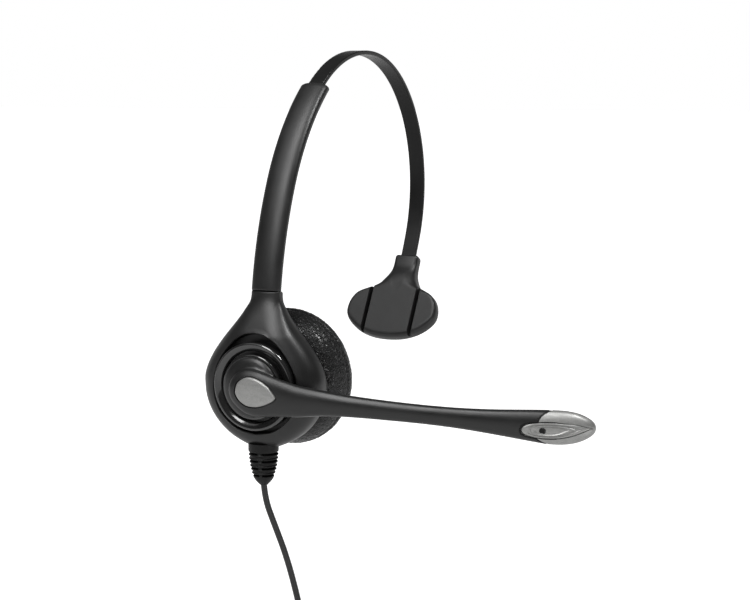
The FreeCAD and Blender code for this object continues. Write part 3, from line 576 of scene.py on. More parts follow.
def yoke_skin():
    """The yoke's outer moulding: an oval-mouthed domed ring that narrows into the stem."""
    side = smooth_line(YOKE_SIDE, 5)
    top = [(y, YOKE_TOP) for y in (0.0, 1.5, 3.0, 4.4, 5.5)]
    half = top + side
    edge = half + [(-y, z) for y, z in reversed(half[1:-1])]
    walls = [(6.0, 60.0)] + side
    walls_left = [(-y, z) for y, z in walls]
    mouth_knots = [(r * math.sin(math.radians(a)), r * math.cos(math.radians(a))) for a, r in YOKE_OPENING]
    mouth_line = smooth_line(mouth_knots, 8)

    def mouth_radius(angle):
        angle = abs(angle)
        return blend_between([(math.atan2(y, z), math.hypot(y, z)) for y, z in mouth_line], angle)

    def front(y, z):
        gap = min(distance_to(walls, (y, z)), distance_to(walls_left, (y, z)))
        inward = max(0.0, 1 - gap / blend_between(YOKE_ROLL_WIDTH, z))
        roll = blend_between(YOKE_ROLL_DEPTH, z) * (1 - math.sqrt(1 - inward * inward))
        lip = max(0.0, 0.35 - (YOKE_TOP - z)) / 0.35
        return blend_between(YOKE_FRONT, z) + roll + 0.3 * lip * lip

    columns = []
    for y, z in edge:
        angle = math.atan2(y, z)
        far = math.hypot(y, z)
        unit = (y / far, z / far)
        mouth = mouth_radius(angle)
        inner = min(YOKE_CAVITY, far - 1.2)
        column = [(YOKE_BACK, inner), (-27.5, inner), (-29.6, min(21.2, far - 2.4)), (-30.9, mouth + 1.0)]
        column += [(-31.3, mouth + 0.15), (-31.8, mouth), (-32.2, mouth + 0.12), (-32.42, mouth + 0.4)]
        start = mouth + 0.8
        for s in (0, 0.1, 0.2, 0.3, 0.4, 0.5, 0.6, 0.69, 0.77, 0.84, 0.9, 0.94, 0.97, 0.99, 1.0):
            r = start + (far - start) * s
            column.append((front(unit[0] * r, unit[1] * r), r))
        rolled = column[-1][0]
        column += [(rolled + 0.35 * (YOKE_BACK - rolled), far), (YOKE_BACK - 0.7, far - 0.15)]
        column.append((YOKE_BACK, far - 0.7))
        columns.append([(x, unit[0] * r, unit[1] * r) for x, r in column])
    return raw_object("yoke_skin", *lofted(columns, closed=True))


yoke = finished(yoke_skin(), "yoke_skin", "yoke", "black_plastic", 50)
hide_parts("yoke_shell")


# ---------------------------------------------------------------- sleeve

# The sleeve's centre line in the XZ plane, from the seam upward: two arcs of (radius, turn in degrees).
SLEEVE_START = (-23.0, 35.2)
SLEEVE_HEADING = 8.6
SLEEVE_ARCS = [(147.0, 16.5), (100.2, 26.6)]
SLEEVE_CHAMBER = (4.0, 1.3)
SLEEVE_MOUTH = (3.52, 0.97)
SLEEVE_PARTING = -0.15
SLEEVE_LIP = 1.3
SLEEVE_STEPS = 64
SLEEVE_HALF = 6.04
SLEEVE_CROWN = 2.55


def sleeve_skin():
    """The sleeve's outer half: a crowned cover, open towards the head where the liner closes it."""
    half = SLEEVE_HALF
    crown = []
    for i in range(49):
        angle = math.pi * i / 48
        c, r = math.cos(angle), math.sin(angle)
        height = max(SLEEVE_PARTING + 0.02, SLEEVE_CROWN * abs(r) ** 0.95)
        crown.append((math.copysign(abs(c) ** 0.96, c) * half, height))

    def section(centre, radius, heading, chamber, shrink):
        """One closed section: the crown, then the chamber's walls and roof."""
        wide, deep = chamber
        low = SLEEVE_PARTING
        roof = [(-half, low), (-wide, low), (-wide, deep), (wide, deep), (wide, low), (half, low)]
        angle = math.radians(heading)
        ring = []
        for k, (w, h) in enumerate(crown[1:-1] + roof):
            outer = k < len(crown) - 2
            w = w * (1 - shrink / half) if outer else w
            h = h * (1 - shrink / SLEEVE_CROWN) if outer else h
            reach = radius + h
            ring.append((centre[0] - math.cos(angle) * reach, w, centre[1] + math.sin(angle) * reach))
        return ring

    rings = []
    here = SLEEVE_START
    heading = SLEEVE_HEADING
    for number, (radius, turn) in enumerate(SLEEVE_ARCS):
        angle = math.radians(heading)
        centre = (here[0] + math.cos(angle) * radius, here[1] - math.sin(angle) * radius)
        last = number == len(SLEEVE_ARCS) - 1
        inside = turn - SLEEVE_LIP if last else turn
        stops = [inside * k / SLEEVE_STEPS for k in range(SLEEVE_STEPS + (1 if last else 0))]
        if number == 0:
            rings.append(section(centre, radius, heading, SLEEVE_CHAMBER, 0.3))
            stops[0] = 0.12
        for stop in stops:
            rings.append(section(centre, radius, heading + stop, SLEEVE_CHAMBER, 0.0))
        if last:
            for stop, shrink in ((inside + 0.02, 0.0), (turn - 0.25, 0.0), (turn - 0.08, 0.15), (turn, 0.45)):
                rings.append(section(centre, radius, heading + stop, SLEEVE_MOUTH, shrink))
        heading += turn
        angle = math.radians(heading)
        here = (centre[0] - math.cos(angle) * radius, centre[1] + math.sin(angle) * radius)
    return raw_object("sleeve", *lofted(rings))


sleeve = finished(sleeve_skin(), "sleeve_skin", "yoke", SLOT_OF["headband_sleeve"], 50)
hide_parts("headband_sleeve")


# ---------------------------------------------------------------- strain relief

# The boot's outline, (z, radius), from its tip upward. Turns round it are in degrees: each row's slots are
# (start, end) from RELIEF_WEB, for even rows and then for odd ones.
RELIEF_X = -25.8
RELIEF_RADIUS = [
    (-38.8, 1.6), (-38.4, 1.95), (-37.8, 2.55), (-36.8, 3.35), (-35.6, 4.0), (-33.4, 4.72), (-30.6, 5.3),
    (-28.5, 5.55), (-26.4, 5.72), (-24.6, 5.8), (-21.6, 5.8),
]
RELIEF_STEPS = 240
RELIEF_FIRST_ROW = -26.3
RELIEF_PITCH = 1.42
RELIEF_ROWS = 7
RELIEF_WEB = 191.5
RELIEF_SLOT_HALF = 0.34
RELIEF_GROOVE = 0.42
RELIEF_SLOT_DEPTH = 1.5
RELIEF_SLOTS = (((8.0, 118.0), (-58.0, -8.0), (188.0, 240.0)), ((-118.0, -64.0), (126.0, 176.0)))


def ramp_between(value, low, high):
    """0 up to low, 1 from high on, and a smooth rise between them."""
    share = min(1.0, max(0.0, (value - low) / (high - low)))
    return share * share * (3 - 2 * share)


def relief_skin():
    """Ribbed boot: rounded ribs all round, with slots cut deeper between them in turn."""
    stations = [-22.6, -23.4, -24.6, -25.2]
    for row in range(RELIEF_ROWS):
        middle = RELIEF_FIRST_ROW - row * RELIEF_PITCH
        stations.append(middle + 0.71)
        for step in (0.62, 0.52, 0.44, 0.38, 0.33, 0.26, 0.12):
            stations += [middle + step, middle - step]
    stations += [-35.6, -36.1, -36.6, -37.1, -37.6, -38.0, -38.4, -38.65, -38.8]
    stations = sorted(set(stations), reverse=True)
    rings = []
    for z in stations:
        row = round((RELIEF_FIRST_ROW - z) / RELIEF_PITCH)
        in_rows = 0 <= row < RELIEF_ROWS
        off = abs(z - (RELIEF_FIRST_ROW - row * RELIEF_PITCH))
        around = 1.0 - ramp_between(off, 0.15, 0.68) if in_rows else 0.0
        inside = 1.0 - ramp_between(off, RELIEF_SLOT_HALF - 0.03, RELIEF_SLOT_HALF + 0.06) if in_rows else 0.0
        outer = blend_between(RELIEF_RADIUS, z)
        ring = []
        for i in range(RELIEF_STEPS):
            azimuth = 360.0 * i / RELIEF_STEPS
            deep = 0.0
            for start, end in RELIEF_SLOTS[row % 2]:
                turn = (azimuth - RELIEF_WEB - start) % 360.0
                span = (end - start) % 360.0
                deep = max(deep, ramp_between(turn, 0.0, 3.0) * (1 - ramp_between(turn, span - 3.0, span)))
            r = outer - (RELIEF_GROOVE * around + RELIEF_SLOT_DEPTH * inside * deep)
            turned = math.radians(azimuth)
            ring.append((RELIEF_X + r * math.cos(turned), r * math.sin(turned), z))
        rings.append(ring)
    return raw_object("relief", *lofted(rings))


relief = finished(relief_skin(), "relief_skin", "yoke", "black_rubber", 50)
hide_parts("strain_relief")


# ---------------------------------------------------------------- turret ring and boom hub

TURRET_BORE = 13.3
turret = turned_ring("turret", [
    (-27.55, TURRET_BORE), (-27.55, 16.6), (-33.2, 16.85), (-33.75, 16.75), (-34.15, 16.45),
    (-34.3, 16.05), (-34.2, 15.55), (-33.6, 14.2), (-33.2, 13.65), (-32.8, 13.45), (-31.4, 13.4),
    (-31.4, TURRET_BORE),
])
turret = finished(turret, "turret_gloss_ring", "earpiece", "gloss_black", 60)
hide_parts("turret_ring")
hub = turned_ring("hub", [
    (-34.8, 8.0), (-34.8, 11.3), (-34.78, 11.7), (-34.72, 12.0), (-34.6, 12.22), (-34.35, 12.38),
    (-34.0, 12.4), (-31.4, 12.2), (-31.4, 4.0), (-23.0, 4.0), (-23.0, 3.2), (-22.5, 3.2), (-22.5, 4.0),
    (-22.2, 4.0), (-22.2, 1.6), (-33.8, 1.6), (-33.8, 8.0),
])
hub = finished(hub, "hub_gloss_ring", "boom", "gloss_black", 40)
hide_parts("boom_hub")


# ---------------------------------------------------------------- boom

# Stations along the boom, from the hub to the tip: y, x, z, half height, half thickness.
BOOM = [
    (7.3, -37.6, -0.4, 0.5, 1.2), (6.9, -37.7, -0.4, 2.6, 2.2), (5.6, -37.9, -0.5, 5.0, 2.9),
    (3.0, -38.1, -0.7, 7.1, 3.2), (0.0, -38.2, -1.0, 8.4, 3.3), (-4.0, -38.2, -1.5, 8.7, 3.2),
    (-8.0, -38.2, -1.9, 8.1, 3.1), (-12.0, -38.2, -2.3, 7.4, 3.1), (-17.0, -38.2, -2.7, 6.6, 3.05),
    (-22.0, -38.1, -3.1, 5.9, 3.0), (-32.0, -37.3, -3.2, 4.7, 2.9), (-42.0, -36.0, -3.7, 4.0, 2.8),
    (-56.0, -33.7, -4.5, 3.6, 2.7), (-70.0, -31.0, -5.3, 3.5, 2.7), (-82.0, -28.2, -6.1, 3.8, 2.8),
    (-93.0, -25.3, -6.9, 4.5, 3.1), (-103.0, -22.4, -7.6, 5.4, 3.5), (-108.5, -20.7, -8.0, 5.9, 3.8),
    (-113.0, -19.3, -8.3, 6.2, 4.0), (-118.0, -17.7, -8.4, 6.1, 4.0), (-122.5, -16.3, -8.4, 5.2, 3.6),
    (-126.0, -15.2, -8.4, 3.5, 2.7), (-127.8, -14.6, -8.4, 1.8, 1.6), (-128.3, -14.4, -8.4, 0.4, 0.5),
]
BOOM_POWER = 2.25
# The skirt disc's outline, (x, radius).
BOOM_SKIRT = [
    (-34.7, 0.3), (-34.7, 11.0), (-35.2, 11.5), (-35.8, 11.4), (-36.5, 10.4), (-37.1, 8.5), (-37.5, 5.0),
    (-37.5, 0.3),
]


def oval_ring(station, grow=0.0):
    """The boom's section at a station: an oval with slightly squared shoulders."""
    y, x, z, half_height, half_thick = station
    ring = []
    for i in range(44):
        c, s = math.cos(math.tau * i / 44), math.sin(math.tau * i / 44)
        dx = math.copysign(abs(c) ** (2 / BOOM_POWER), c) * max(0.05, half_thick + grow)
        dz = math.copysign(abs(s) ** (2 / BOOM_POWER), s) * max(0.05, half_height + grow)
        ring.append((x + dx, y, z + dz))
    return ring


BOOM_LINE = smooth_line(BOOM, 5)


def boom_front(y, z):
    """x of the boom's outward surface at a place seen from the front."""
    for a, b in zip(BOOM_LINE, BOOM_LINE[1:]):
        if b[0] <= y <= a[0]:
            t = (a[0] - y) / (a[0] - b[0])
            _, x, mid, high, thick = (p + (q - p) * t for p, q in zip(a, b))
            u = min(0.995, abs(z - mid) / high)
            return x - thick * (1 - u ** BOOM_POWER) ** (1 / BOOM_POWER)
    return -20.0


def boom_body():
    """The whole boom as one skin: the skirt disc in the hub and the arm that rises from it."""
    arm_points, arm_faces = lofted([oval_ring(s) for s in BOOM_LINE])
    points, faces = lofted([[(x, y, z) for y, z in circle(r, 96)] for x, r in BOOM_SKIRT])
    shift = len(arm_points)
    return raw_object("boom", arm_points + points, arm_faces + [tuple(i + shift for i in f) for f in faces])


# Outline of the silver tip's edge on the boom, (y, z), open towards the tip.
TIP_EDGE = [
    (-150.0, 10.0), (-120.2, 2.6), (-117.6, -0.3), (-115.9, -1.35), (-114.4, -1.9), (-113.1, -2.5),
    (-111.9, -3.3), (-111.0, -4.2), (-110.45, -5.2), (-110.15, -6.35), (-107.9, -6.45), (-105.9, -6.85),
    (-104.5, -7.7), (-103.9, -8.85), (-104.3, -10.1), (-105.7, -11.05), (-107.6, -11.55),
    (-109.4, -11.8), (-110.1, -12.5), (-111.1, -13.2), (-112.4, -14.0), (-114.2, -16.5), (-115.5, -19.0),
    (-150.0, -19.0),
]
# Outline of the drop-shaped inlay, (y, z), and its crowned section, (share of the outline, height).
DROP = [
    (3.5, -0.5), (2.4, 2.5), (-0.4, 4.5), (-3.1, 4.85), (-6.4, 4.0), (-10.1, 1.9), (-12.7, -0.7),
    (-13.55, -2.0), (-12.3, -3.5), (-8.9, -5.1), (-5.2, -6.05), (-1.4, -5.85), (1.6, -4.2), (3.1, -2.2),
]
DROP_MIDDLE = (-4.0, -0.7)
PORT = (-111.6, -9.05)
DROP_RECESS = -40.2
DROP_CROWN = [
    (1.0, 0.0), (1.0, 0.8), (0.985, 0.98), (0.95, 1.12), (0.85, 1.26), (0.65, 1.4), (0.4, 1.48),
    (0.15, 1.5),
]


def through_x(a, b, level):
    return (level, a, b)


def round_hole(radius):
    """Outline of the microphone's port, seen from the front."""
    return [(PORT[0] + y, PORT[1] + z) for y, z in circle(radius, 28)]


def boom_pieces():
    """The black arm, the silver tip that continues its surface, and the inlay in its root."""
    body = remeshed(boom_body(), 0.42, 9)
    boolean(body, prism("tip_hole", round_hole(1.2), -40.0, -21.6, through_x))
    tip = body.copy()
    tip.data = body.data.copy()
    scene.collection.objects.link(tip)
    boolean(tip, prism("tip_side", TIP_EDGE, -60.0, 10.0, through_x), "INTERSECT")
    grown = [(y + 0.6, z + (0.35 if z > -8.85 else -0.35)) for y, z in TIP_EDGE]
    boolean(body, prism("arm_side", grown, -61.0, 11.0, through_x))
    drop = smooth_line(DROP, 6, closed=True)
    wide = [
        (DROP_MIDDLE[0] + (y - DROP_MIDDLE[0]) * 1.06, DROP_MIDDLE[1] + (z - DROP_MIDDLE[1]) * 1.09)
        for y, z in drop
    ]
    boolean(body, prism("drop_pocket", wide, -50.0, DROP_RECESS, through_x))
    rings = []
    for share, height in DROP_CROWN:
        rings.append([
            (
                DROP_RECESS - height,
                DROP_MIDDLE[0] + (y - DROP_MIDDLE[0]) * share,
                DROP_MIDDLE[1] + (z - DROP_MIDDLE[1]) * share,
            )
            for y, z in drop
        ])
    insert = raw_object("drop", *lofted(rings))
    return body, tip, insert


arm, tip, insert = boom_pieces()
arm = finished(arm, "boom_skin", "boom", "boom_plastic", 45)
insert = finished(insert, "drop_inlay", "boom", "silver", 45)
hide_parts("boom_arm")
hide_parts("boom_insert")

# The dark gasket that shows in the gap between the arm and the tip.
neck_rings = [oval_ring(s, -0.2) for s in BOOM_LINE if -117 < s[0] < -100]
neck = finished(raw_object("neck", *lofted(neck_rings)), "tip_gasket", "boom", "black_rubber")
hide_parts("mic_boot")


# The port plate on the tip: a leaf with a rounded end towards the boom and a point towards the tip.
LEAF_START = -104.35
LEAF_END = -127.3
LEAF_WIDTH = [
    (0.0, 0.3), (0.01, 0.8), (0.03, 1.3), (0.07, 1.8), (0.13, 2.25), (0.22, 2.6), (0.34, 2.8),
    (0.48, 2.8), (0.62, 2.5), (0.75, 2.0), (0.87, 1.2), (0.95, 0.5), (1.0, 0.15),
]
LEAF_MIDDLE = [(0.0, -8.95), (0.3, -9.0), (0.6, -8.9), (1.0, -8.2)]
LEAF_STEPS = 60
# Share of the leaf's width and height above the tip's surface, from its edge inward.
LEAF_SECTION = [
    (1.0, -0.45), (0.985, 0.08), (0.94, 0.24), (0.88, 0.27), (0.82, 0.22), (0.77, -0.08), (0.73, -0.22),
    (0.69, -0.04), (0.64, 0.36), (0.57, 0.4), (0.5, 0.22), (0.44, -0.16), (0.38, -0.34), (0.2, -0.38),
    (0.04, -0.38),
]
LEAF_HEART = (-113.5, -8.9)
# The port's rim and cup, (depth, radius), measured from PORT_SINK behind the tip's surface.
PORT_SINK = 0.2
PORT_CUP = [(0.9, 0.3), (0.9, 1.15), (-0.02, 1.15), (-0.1, 1.0), (-0.02, 0.82), (0.55, 0.72), (0.6, 0.1)]


def leaf_edge():
    """The port plate's outline, (y, z)."""
    upper = []
    lower = []
    for i in range(LEAF_STEPS + 1):
        t = 0.5 - 0.5 * math.cos(math.pi * i / LEAF_STEPS)
        y = LEAF_START + (LEAF_END - LEAF_START) * t
        upper.append((y, blend_between(LEAF_MIDDLE, t) + blend_between(LEAF_WIDTH, t)))
        lower.append((y, blend_between(LEAF_MIDDLE, t) - blend_between(LEAF_WIDTH, t)))
    return upper + lower[::-1]


def port_plate():
    """The leaf-shaped plate: its foot under the tip's surface, then its ridges from the edge inward."""
    edge = leaf_edge()
    mid_y, mid_z = LEAF_HEART
    foot = []
    for y, z in edge:
        foot.append((boom_front(y, z) + 1.6, mid_y + (y - mid_y) * 0.9, mid_z + (z - mid_z) * 0.85))
    rings = [foot]
    for share, lift in LEAF_SECTION:
        ring = []
        for y, z in edge:
            py = mid_y + (y - mid_y) * share
            pz = mid_z + (z - mid_z) * share
            ring.append((boom_front(py, pz) - lift, py, pz))
        rings.append(ring)
    return raw_object("leaf", *lofted(rings))


def leaf_groove():
    """Cutter for the narrow gap between the port plate and the tip's skin."""
    columns = []
    deep = Vector((0.9, 0.0, 0.0))
    high = Vector((-0.6, 0.0, 0.0))
    for y, z in leaf_edge():
        away = Vector((0.0, y - LEAF_HEART[0], z - LEAF_HEART[1])).normalized() * 0.42
        surface = Vector((boom_front(y, z), y, z))
        inner = surface - away * 0.2
        outer = surface + away
        columns.append([tuple(inner + high), tuple(outer + high), tuple(outer + deep), tuple(inner + deep)])
    return raw_object("groove", *lofted(columns, closed=True))


def port_cup():
    """The port's black rim and the cup behind it."""
    x = boom_front(*PORT) + PORT_SINK
    rings = [[(x + deep, PORT[0] + y, PORT[1] + z) for y, z in circle(r, 32)] for deep, r in PORT_CUP]
    return raw_object("cup", *lofted(rings))


boolean(tip, leaf_groove())
tip = finished(tip, "tip_skin", "boom", "silver", 45)
plate = port_plate()
boolean(plate, prism("port_hole", round_hole(1.0), -60.0, 0.0, through_x))
plate = finished(plate, "port_plate", "boom", "silver", 35)
cup = finished(port_cup(), "port_mouth", "boom", "gloss_black", 60)
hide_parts("mic_port_insert")
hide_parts("mic_tip_cap")


# ---------------------------------------------------------------- temple pad

PAD_ALONG = Vector((-0.477159, 0.0, -0.878817))
PAD_INWARD = Vector((-0.878817, 0.0, 0.477159))
PAD_ORIGIN = Vector((108.99, 0.0, 39.92))
# By the distance along the pad: half width, levels of back and face, and the face's bevel, width and depth.
PAD_HALF = [
    (3.3, 4.5), (3.7, 5.1), (4.6, 5.4), (7.0, 5.45), (9.5, 5.5), (12.0, 5.8), (14.0, 6.45), (16.0, 7.4),
    (18.2, 8.9), (19.8, 10.8), (21.0, 13.1), (22.4, 15.8), (23.8, 17.8), (25.4, 19.2), (27.4, 20.3),
    (29.6, 20.95), (31.8, 21.15), (33.8, 20.95), (35.8, 20.0), (37.8, 18.3), (39.6, 16.2), (41.3, 13.4),
    (42.6, 10.1), (43.5, 6.5), (43.9, 3.0), (44.0, 0.0),
]
PAD_FACE = 7.0
PAD_BACK = [(3.3, -2.1), (9.0, -2.1), (17.0, -1.9), (19.0, -0.6), (22.0, 1.4), (24.0, 1.9), (50.0, 1.9)]
PAD_TOP = [
    (3.3, 2.3), (7.0, 2.4), (9.0, 2.8), (11.0, 3.9), (13.0, 5.3), (15.0, 6.3), (17.0, 6.8),
    (20.0, PAD_FACE), (50.0, PAD_FACE),
]
PAD_BEVEL = [
    (3.3, 1.6), (9.0, 3.0), (12.0, 5.2), (15.0, 5.2), (18.0, 4.6), (20.0, 3.2), (22.0, 1.8), (24.0, 1.1),
    (33.0, 1.3), (38.0, 2.0), (50.0, 2.2),
]
PAD_BEVEL_DEPTH = [
    (3.3, 1.0), (9.0, 1.6), (12.0, 3.0), (15.0, 4.0), (18.0, 4.0), (20.0, 3.0), (22.0, 1.9), (24.0, 1.1),
    (33.0, 1.3), (38.0, 1.7), (50.0, 1.8),
]
PAD_SHARES = (0.15, 0.3, 0.45, 0.58, 0.68, 0.76, 0.83, 0.88, 0.92, 0.95, 0.97, 0.985, 1.0)
PAD_BACK_SHARES = (0.2, 0.5, 0.75, 0.9, 0.97)
PAD_MIDDLE = 26.0
# The two grooves: distance from the middle, slant, and section of (across, height above the face).
GROOVE_PLACE = 11.2
GROOVE_SLANT = 0.016
GROOVE_SECTION = [(-0.72, -3.2), (0.72, -3.2), (0.8, -0.45), (1.3, 0.35), (-1.3, 0.35), (-0.8, -0.45)]


def on_pad(along, across, level):
    """A place on the pad, from its own directions."""
    return tuple(PAD_ORIGIN + PAD_ALONG * along + Vector((0, across, 0)) + PAD_INWARD * level)


def pad_skin():
    """The pad's whole moulding: the socket, the neck that swells out of it and the oval face."""
    half = smooth_line(PAD_HALF, 3)
    edge = [(a, w) for a, w in half] + [(a, -w) for a, w in reversed(half[:-1])]

    def face(a, w):
        gap = distance_to(edge, (a, w))
        u = max(0.0, 1 - gap / blend_between(PAD_BEVEL, a))
        fall = blend_between(PAD_BEVEL_DEPTH, a) * (1 - math.sqrt(max(0.0, 1 - u * u)))
        crown = 0.25 * (w / 20.0) ** 2
        return blend_between(PAD_TOP, a) - fall - crown

    def back(a):
        return blend_between(PAD_BACK, a)

    def shrunk(share):
        """The pad's outline, drawn in towards its middle."""
        return [(PAD_MIDDLE + (a - PAD_MIDDLE) * share, w * share) for a, w in edge]

    rings = [[on_pad(a, w, back(a)) for a, w in shrunk(share)] for share in PAD_BACK_SHARES]
    rings.append([on_pad(a, w, back(rim) + 0.12) for (a, w), (rim, _) in zip(shrunk(0.995), edge)])
    rings.append([on_pad(a, w, back(a) + 0.5) for a, w in edge])
    rings.append([on_pad(a, w, 0.6 * back(a) + 0.4 * face(a, w)) for a, w in edge])
    for share in reversed(PAD_SHARES):
        rings.append([on_pad(a, w, face(a, w)) for a, w in shrunk(share)])
    skin = raw_object("pad", *lofted(rings))
    for side in (1, -1):

        def in_groove(across, height, along):
            slant = (along - 31) * GROOVE_SLANT
            return on_pad(along, side * GROOVE_PLACE + across + slant, PAD_FACE + height)

        boolean(skin, prism("groove", GROOVE_SECTION, 5.0, 55.0, in_groove))
    return skin


pad = finished(pad_skin(), "pad_skin", "headband", "pad_rubber", 35)
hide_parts("temple_pad_facing", "temple_pad_carrier")


# ---------------------------------------------------------------- ear cushion

# Half section of the sewn cushion, (x, radius), drawn slightly lean for the filling to swell.
CUSHION = [
    (-15.3, 17.5), (-15.4, 21.4), (-14.3, 22.9), (-12.0, 24.4), (-9.5, 25.5), (-7.0, 26.3), (-4.5, 26.75),
    (-2.6, 26.3), (-1.2, 24.9), (-0.6, 22.8), (-0.5, 20.0), (-0.5, 17.0), (-0.8, 14.4), (-1.9, 12.6),
    (-3.8, 11.7), (-6.5, 11.5), (-9.0, 11.8), (-10.6, 12.4), (-10.9, 14.0), (-12.6, 15.6),
]
CUSHION_VOXEL = 1.3
CLOTH_FRAMES = 20
# The furthest that the cloth may swell from where it starts.
CUSHION_CAP = 0.55
# Seams round the cushion: x, radius, width and depth.
SEAM_PLACES = ((-6.3, 26.4, 0.55, 0.42), (-1.0, 13.8, 0.6, 0.3))
GATHER_HEIGHT = 0.08
PEBBLE_HEIGHT = 0.12


def ear_cushion():
    """The filled cushion: swollen by cloth, then given its seams, gathers and pebble."""
    skin = turned_ring("cushion", smooth_line(CUSHION, 3, closed=True), 120)
    shape = skin.modifiers.new("skin", "REMESH")
    shape.mode = "VOXEL"
    shape.voxel_size = CUSHION_VOXEL * MM
    applied(skin)
    start = [v.co.copy() for v in skin.data.vertices]
    cloth = skin.modifiers.new("cloth", "CLOTH")
    cloth.settings.quality = 6
    cloth.settings.mass = 0.2
    cloth.settings.tension_stiffness = 25
    cloth.settings.compression_stiffness = 25
    cloth.settings.bending_stiffness = 0.4
    cloth.settings.use_pressure = True
    cloth.settings.uniform_pressure_force = 4.0
    cloth.settings.effector_weights.gravity = 0.0
    cloth.point_cache.frame_start = 1
    cloth.point_cache.frame_end = CLOTH_FRAMES
    for number in range(1, CLOTH_FRAMES + 1):
        scene.frame_set(number)
    applied(skin)
    scene.frame_set(1)
    for vertex, before in zip(skin.data.vertices, start):
        move = vertex.co - before
        if move.length > CUSHION_CAP * MM:
            vertex.co = before + move.normalized() * CUSHION_CAP * MM
        in_bore = math.hypot(before.y, before.z) < 12.6 * MM and before.x < -8.5 * MM
        if before.x < -10.4 * MM or in_bore:
            vertex.co = before
    finer = skin.modifiers.new("finer", "SUBSURF")
    finer.levels = 2
    applied(skin)
    normals = [v.normal.copy() for v in skin.data.vertices]
    for vertex, normal in zip(skin.data.vertices, normals):
        x = vertex.co.x / MM
        r = math.hypot(vertex.co.y, vertex.co.z) / MM
        turn = math.atan2(vertex.co.z, vertex.co.y)
        outward = Vector((0.0, vertex.co.y, vertex.co.z)).normalized()
        for place, radius, width, depth in SEAM_PLACES:
            if abs(r - radius) < 3.0:
                sink = depth * math.exp(-((x - place) / width) ** 2)
                vertex.co -= outward * sink * MM * (1 if radius > 20 else -1)
        if x < -6.6 and r > 20:
            fade = min(1.0, (-6.6 - x) / 1.5) * min(1.0, (15.0 + x) / 2.0 if x > -15 else 0.0)
            gather = math.sin(turn * 46 + 1.3 * math.sin(turn * 7)) * math.sin(turn * 17 + 0.6)
            vertex.co += outward * gather * GATHER_HEIGHT * fade * MM
        pebble = noise.noise(vertex.co * 1300) + 0.6 * noise.noise(vertex.co * 2300)
        vertex.co += normal * pebble * PEBBLE_HEIGHT * MM
    return skin


cushion = finished(ear_cushion(), "cushion_skin", "earpiece", "leatherette", 70)
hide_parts("ear_cushion")


# ---------------------------------------------------------------- tie round the coil


# The strap's section, (degrees about the coil's axis, height): its outside, then back along its inside.
TIE_SECTION = [
    (-13.0, 0.0), (-12.4, 0.55), (-11.0, 0.85), (-6.0, 0.9), (0.0, 0.9), (6.0, 0.9), (11.0, 0.85),
    (12.4, 0.55), (13.0, 0.0), (12.4, -0.25), (0.0, -0.3), (-12.4, -0.25),
]


def coil_tie():
    """A strap round the bundle of turns at the coil's top."""
    outer = []
    for c, s in circle(1.0, 40):
        outer.append((math.copysign(abs(c) ** 0.6, c) * 4.45, math.copysign(abs(s) ** 0.6, s) * 5.7))
    columns = []
    for angle, thick in TIE_SECTION:
        turn = math.radians(angle)
        ring = []
        for radial, axial in outer:
            reach = math.hypot(radial, axial)
            grow = (reach + thick - 0.55) / reach
            r = COIL_RADIUS + radial * grow
            ring.append((
                COIL_CENTRE[0] + r * math.sin(turn),
                COIL_CENTRE[1] + axial * grow,
                COIL_CENTRE[2] + r * math.cos(turn),
            ))
        columns.append(ring)
    return raw_object("tie", *lofted(columns, closed=True))


tie = finished(coil_tie(), "coil_strap", "yoke", "tie_strap", 50)
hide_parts("cord_tie")


# ---------------------------------------------------------------- floor and light

FLOOR_HEIGHT = -0.30
FLOOR_HALF = 30
FLOOR_CORNERS = ((-1, -1), (1, -1), (1, 1), (-1, 1))
floor_points = [(FLOOR_HALF * x, FLOOR_HALF * y, FLOOR_HEIGHT) for x, y in FLOOR_CORNERS]
floor_data = bpy.data.meshes.new("floor")
floor_data.from_pydata(floor_points, [], [(0, 1, 2, 3)])
floor = bpy.data.objects.new("floor", floor_data)
scene.collection.objects.link(floor)
floor_look = Look("floor")
floor_look.set("Base Color", (0.92, 0.92, 0.92))
floor_look.set("Roughness", 0.9)
floor_look.set("Specular IOR Level", 0.0)
# The floor glows as painted light: dim within 0.4 m of the middle, a painted shade under the object, and
# bright from 1.1 m out.
floor_spread = floor_look.add("ShaderNodeVectorMath", operation="LENGTH")
floor_look.link(floor_look.coords, floor_spread.inputs[0])
floor_look.set("Emission Color", (1.0, 1.0, 1.0))
floor_glow = floor_look.ramp(floor_spread.outputs["Value"], 0.4, 1.1, 0.08, 0.85)
floor_look.set("Emission Strength", floor_glow)
floor_data.materials.append(floor_look.material)

# The backdrop ahead of the camera is white; overhead and behind the camera the room is dim,
# so that black plastic stays black and shows the softboxes.
SKY_BACKDROP = 1.0
SKY_ROOM = 0.13
world = bpy.data.worlds.new("studio")
world.use_nodes = True
sky = world.node_tree


def sky_node(kind, **values):
    node = sky.nodes.new(kind)
    for name, value in values.items():
        setattr(node, name, value)
    return node


def sky_ramp(value, low, high, out_low, out_high):
    node = sky_node("ShaderNodeMapRange", interpolation_type="SMOOTHSTEP")
    for name, number in (("From Min", low), ("From Max", high), ("To Min", out_low), ("To Max", out_high)):
        node.inputs[name].default_value = number
    sky.links.new(value, node.inputs["Value"])
    return node.outputs["Result"]


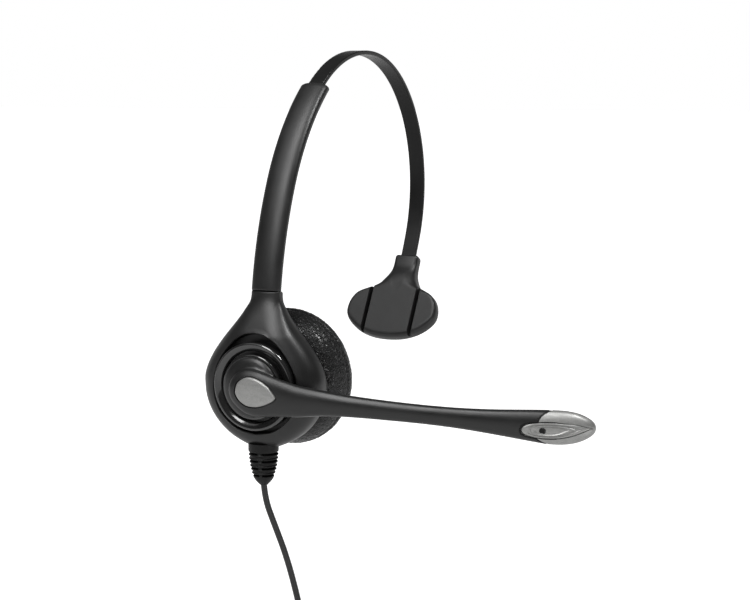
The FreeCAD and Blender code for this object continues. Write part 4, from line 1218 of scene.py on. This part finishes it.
sky_way = sky_node("ShaderNodeTexCoord")
sky_split = sky_node("ShaderNodeSeparateXYZ")
sky.links.new(sky_way.outputs["Generated"], sky_split.inputs["Vector"])
sky_ahead = sky_node("ShaderNodeVectorMath", operation="DOT_PRODUCT")
sky.links.new(sky_way.outputs["Generated"], sky_ahead.inputs[0])
sky_ahead.inputs[1].default_value = (0.9, 0.43, 0.0)
low_down = sky_ramp(sky_split.outputs["Z"], 0.12, 0.45, 1.0, 0.0)
ahead = sky_ramp(sky_ahead.outputs["Value"], 0.2, 0.8, 0.0, 1.0)
both = sky_node("ShaderNodeMath", operation="MULTIPLY")
sky.links.new(low_down, both.inputs[0])
sky.links.new(ahead, both.inputs[1])
sky_strength = sky_ramp(both.outputs[0], 0.0, 1.0, SKY_ROOM, SKY_BACKDROP)
sky.links.new(sky_strength, sky.nodes["Background"].inputs["Strength"])
sky.nodes["Background"].inputs["Color"].default_value = (1.0, 1.0, 1.0, 1.0)
scene.world = world


def softbox(name, place, aim, size, power, height=None):
    data = bpy.data.lights.new(name, "AREA")
    data.shape = "RECTANGLE"
    data.size = size
    data.size_y = height or size
    data.energy = power
    obj = bpy.data.objects.new(name, data)
    scene.collection.objects.link(obj)
    obj.location = place
    obj.rotation_mode = "QUATERNION"
    obj.rotation_quaternion = (Vector(aim) - Vector(place)).to_track_quat("-Z", "Y")
    return obj


softbox("key", (-0.45, 0.05, 0.68), (0.0, 0.0, 0.03), 0.26, 8.0, height=0.85)
softbox("overhead_right", (0.02, -0.38, 0.66), (0.0, -0.02, 0.0), 0.13, 3.6)
softbox("low_right", (-0.25, -0.62, -0.20), (0.05, 0.0, 0.02), 0.10, 0.5, height=0.3)
sun_data = bpy.data.lights.new("overhead", "SUN")
sun_data.energy = 0.8
sun_data.angle = math.radians(60)
sun = bpy.data.objects.new("overhead", sun_data)
scene.collection.objects.link(sun)
sun.rotation_euler = (math.radians(-12), math.radians(-25), 0.0)
scene.view_settings.view_transform = "Standard"
scene.view_settings.gamma = 0.92

bpy.context.view_layer.update()
